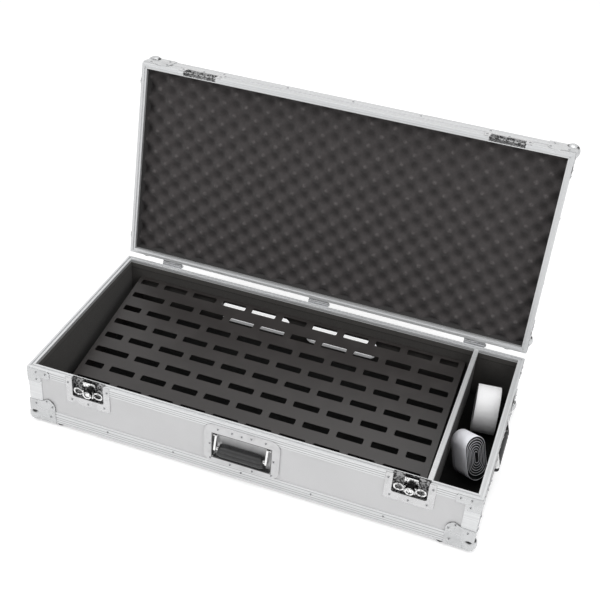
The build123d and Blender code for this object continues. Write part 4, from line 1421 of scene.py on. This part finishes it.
# ---------------------------------------------------------------- the case
@dataclass
class RivetPlan:
    """Where the case's rivets and screws go, measured on each face."""

    row_above: float = 0.0177
    row_pitch: float = 0.150
    ball: tuple[Pair, ...] = ((0.040, 0.0545), (0.0525, 0.0425), (0.047, 0.014), (0.014, 0.042))
    ball_plate: float = 0.0015
    brace: tuple[Pair, ...] = ((0.041, -0.0105), (0.0195, -0.0105), (0.0195, -0.029))
    brace_plate: float = 0.0012
    latch_centre: float = 0.342
    dish: tuple[Pair, ...] = (
        (-0.044, -0.013), (0.044, -0.013), (-0.037, -0.056), (0.0, -0.0585), (0.037, -0.056),
    )
    keeper: tuple[Pair, ...] = ((-0.0445, 0.014), (0.0445, 0.014), (0.0, 0.0258))
    handle: tuple[Pair, ...] = (
        (-0.051, 0.040), (0.051, 0.040), (-0.068, -0.002), (0.069, -0.002),
        (-0.066, -0.041), (0.066, -0.041), (-0.023, -0.0455), (0.025, -0.0455),
    )
    handle_tab: tuple[Pair, ...] = ((-0.0205, 0.041), (0.0, 0.0395), (0.0205, 0.041))
    handle_plate: float = 0.0015
    tab_plate: float = 0.0023
    hinges: tuple[float, ...] = (-0.368, 0.0, 0.366)
    hinge_back: float = 0.0066
    hinge: tuple[Pair, ...] = ((-0.016, 0.014), (0.0, 0.023), (0.016, 0.014))

    def face(self, turn: int) -> tuple[Points, Points, Points, float]:
        """One upright face: its middle, the way along it, its outward way and half its width.

        Args:
            turn: 0 front, 1 right, 2 back, 3 left.
        """
        ways = np.array([(1, 0, 0), (0, 1, 0), (-1, 0, 0), (0, -1, 0)], float)
        along, outward = ways[turn], ways[turn - 1]
        wide, deep = CASE.half_length, CASE.depth / 2
        if turn % 2:
            wide, deep = deep, wide
        return np.array([0.0, CASE.middle_y, 0.0]) + outward * deep, along, outward, wide

    def dot(self, rivets: Rivets, turn: int, at: float, level: float, proud: float, lid: bool) -> None:
        """Adds one rivet at a place along a face and a height, on a plate that stands proud."""
        middle, along, outward, _ = self.face(turn)
        point = middle + along * at + outward * proud + np.array([0.0, 0.0, level])
        rivets.add(point, outward, lid)

    def corners(self, rivets: Rivets, turn: int, lid: bool) -> None:
        """Rivets of the ball corners, and of the braces at the base's rim."""
        wide = self.face(turn)[3]
        for side in (-1, 1):
            for inward, up in self.ball[1:] if lid else self.ball:
                level = CASE.lid_top_z - up if lid else CASE.underside_z + up
                self.dot(rivets, turn, side * (wide - inward), level, self.ball_plate, lid)
            for inward, up in () if lid else self.brace:
                self.dot(rivets, turn, side * (wide - inward), CASE.rim_z + up, self.brace_plate, lid)

    def rows(self, rivets: Rivets, turn: int, lid: bool) -> None:
        """The row along the edge angle, at an even pitch from the face's middle."""
        level = CASE.lid_top_z - self.row_above if lid else CASE.underside_z + self.row_above
        places = (-2, -1, 0, 1, 2) if turn % 2 == 0 else (-0.5, 0.5)
        for place in places:
            self.dot(rivets, turn, place * self.row_pitch, level, 0.0, lid)

    def fittings(self, base: Rivets, lid: Rivets) -> None:
        """Rivets of the latches, keepers, handles and hinges."""
        for centre in (-self.latch_centre, self.latch_centre):
            for along, up in self.dish:
                self.dot(base, 0, centre + along, CASE.rim_z + up, 0.0, False)
            for along, up in self.keeper:
                self.dot(lid, 0, centre + along, CASE.lid_z + up, 0.0, True)
        level = CASE.underside_z + CASE.handle_above_case
        for turn, middle in ((0, CASE.handle_x), (1, 0.0), (3, 0.0)):
            for along, up in self.handle:
                self.dot(base, turn, middle + along, level + up, self.handle_plate, False)
            for along, up in self.handle_tab:
                self.dot(base, turn, middle + along, level + up, self.tab_plate, False)
        for centre in self.hinges:
            for along, away in self.hinge:
                self.dot(base, 2, -centre + along, CASE.hinge_z - away, self.hinge_back, False)
                self.dot(lid, 2, -centre + along, CASE.hinge_z + away, self.hinge_back, True)

    def build(self) -> list[bpy.types.Object]:
        """The base's rivets and the lid's."""
        base, lid = Rivets("base_rivets", "case_base"), Rivets("lid_rivets", "lid")
        for turn in range(4):
            for rivets, of_lid in ((base, False), (lid, True)):
                self.rows(rivets, turn, of_lid)
                self.corners(rivets, turn, of_lid)
        self.fittings(base, lid)
        return [base.build(), lid.build()]


def main() -> None:
    """Builds the case's dressing in order and finishes the frame."""
    logging.basicConfig(level=logging.INFO, format="%(name)s: %(message)s")
    studio = Studio()
    studio.build()
    hook_roll = TapeRoll(
        "hook_tape_roll", "tape_roll_front", "hook_tape", HOOK_TAPE, thickness=0.0017,
        pitch=0.0034, half_turns=14, radius=0.0262, yaw=42.0, straight=0.042, droop=0.005,
        lean=22.0, from_front=0.188, slimmer=0.026,
    )
    loop_roll = TapeRoll(
        "loop_tape_roll", "tape_roll_rear", "loop_tape", LOOP_TAPE, thickness=0.0023,
        pitch=0.003, half_turns=16, radius=0.0535, yaw=6.2, from_front=0.342, from_right=0.0506,
    )
    soft = (FeltLining(), EggCrateFoam(), LidWallFelt(), hook_roll, loop_roll)
    pieces = [piece.build() for piece in soft]
    level = CASE.underside_z + CASE.handle_above_case
    faces = (
        ("front", (CASE.handle_x, CASE.front_y, level), (1.0, 0.0, 0.0), (0.0, -1.0, 0.0)),
        ("left", (-CASE.half_length, CASE.middle_y, level), (0.0, -1.0, 0.0), (-1.0, 0.0, 0.0)),
        ("right", (CASE.half_length, CASE.middle_y, level), (0.0, 1.0, 0.0), (1.0, 0.0, 0.0)),
    )
    for side, origin, along, outward in faces:
        pieces.append(HandleGrip(side, np.array(origin), np.array(along), np.array(outward)).build())
    pieces += RivetPlan().build()
    NodeDressing().dress()
    for piece in pieces:
        log.info("piece %s: %d faces", piece.name, len(piece.data.polygons))


if __name__ == "__main__":
    main()
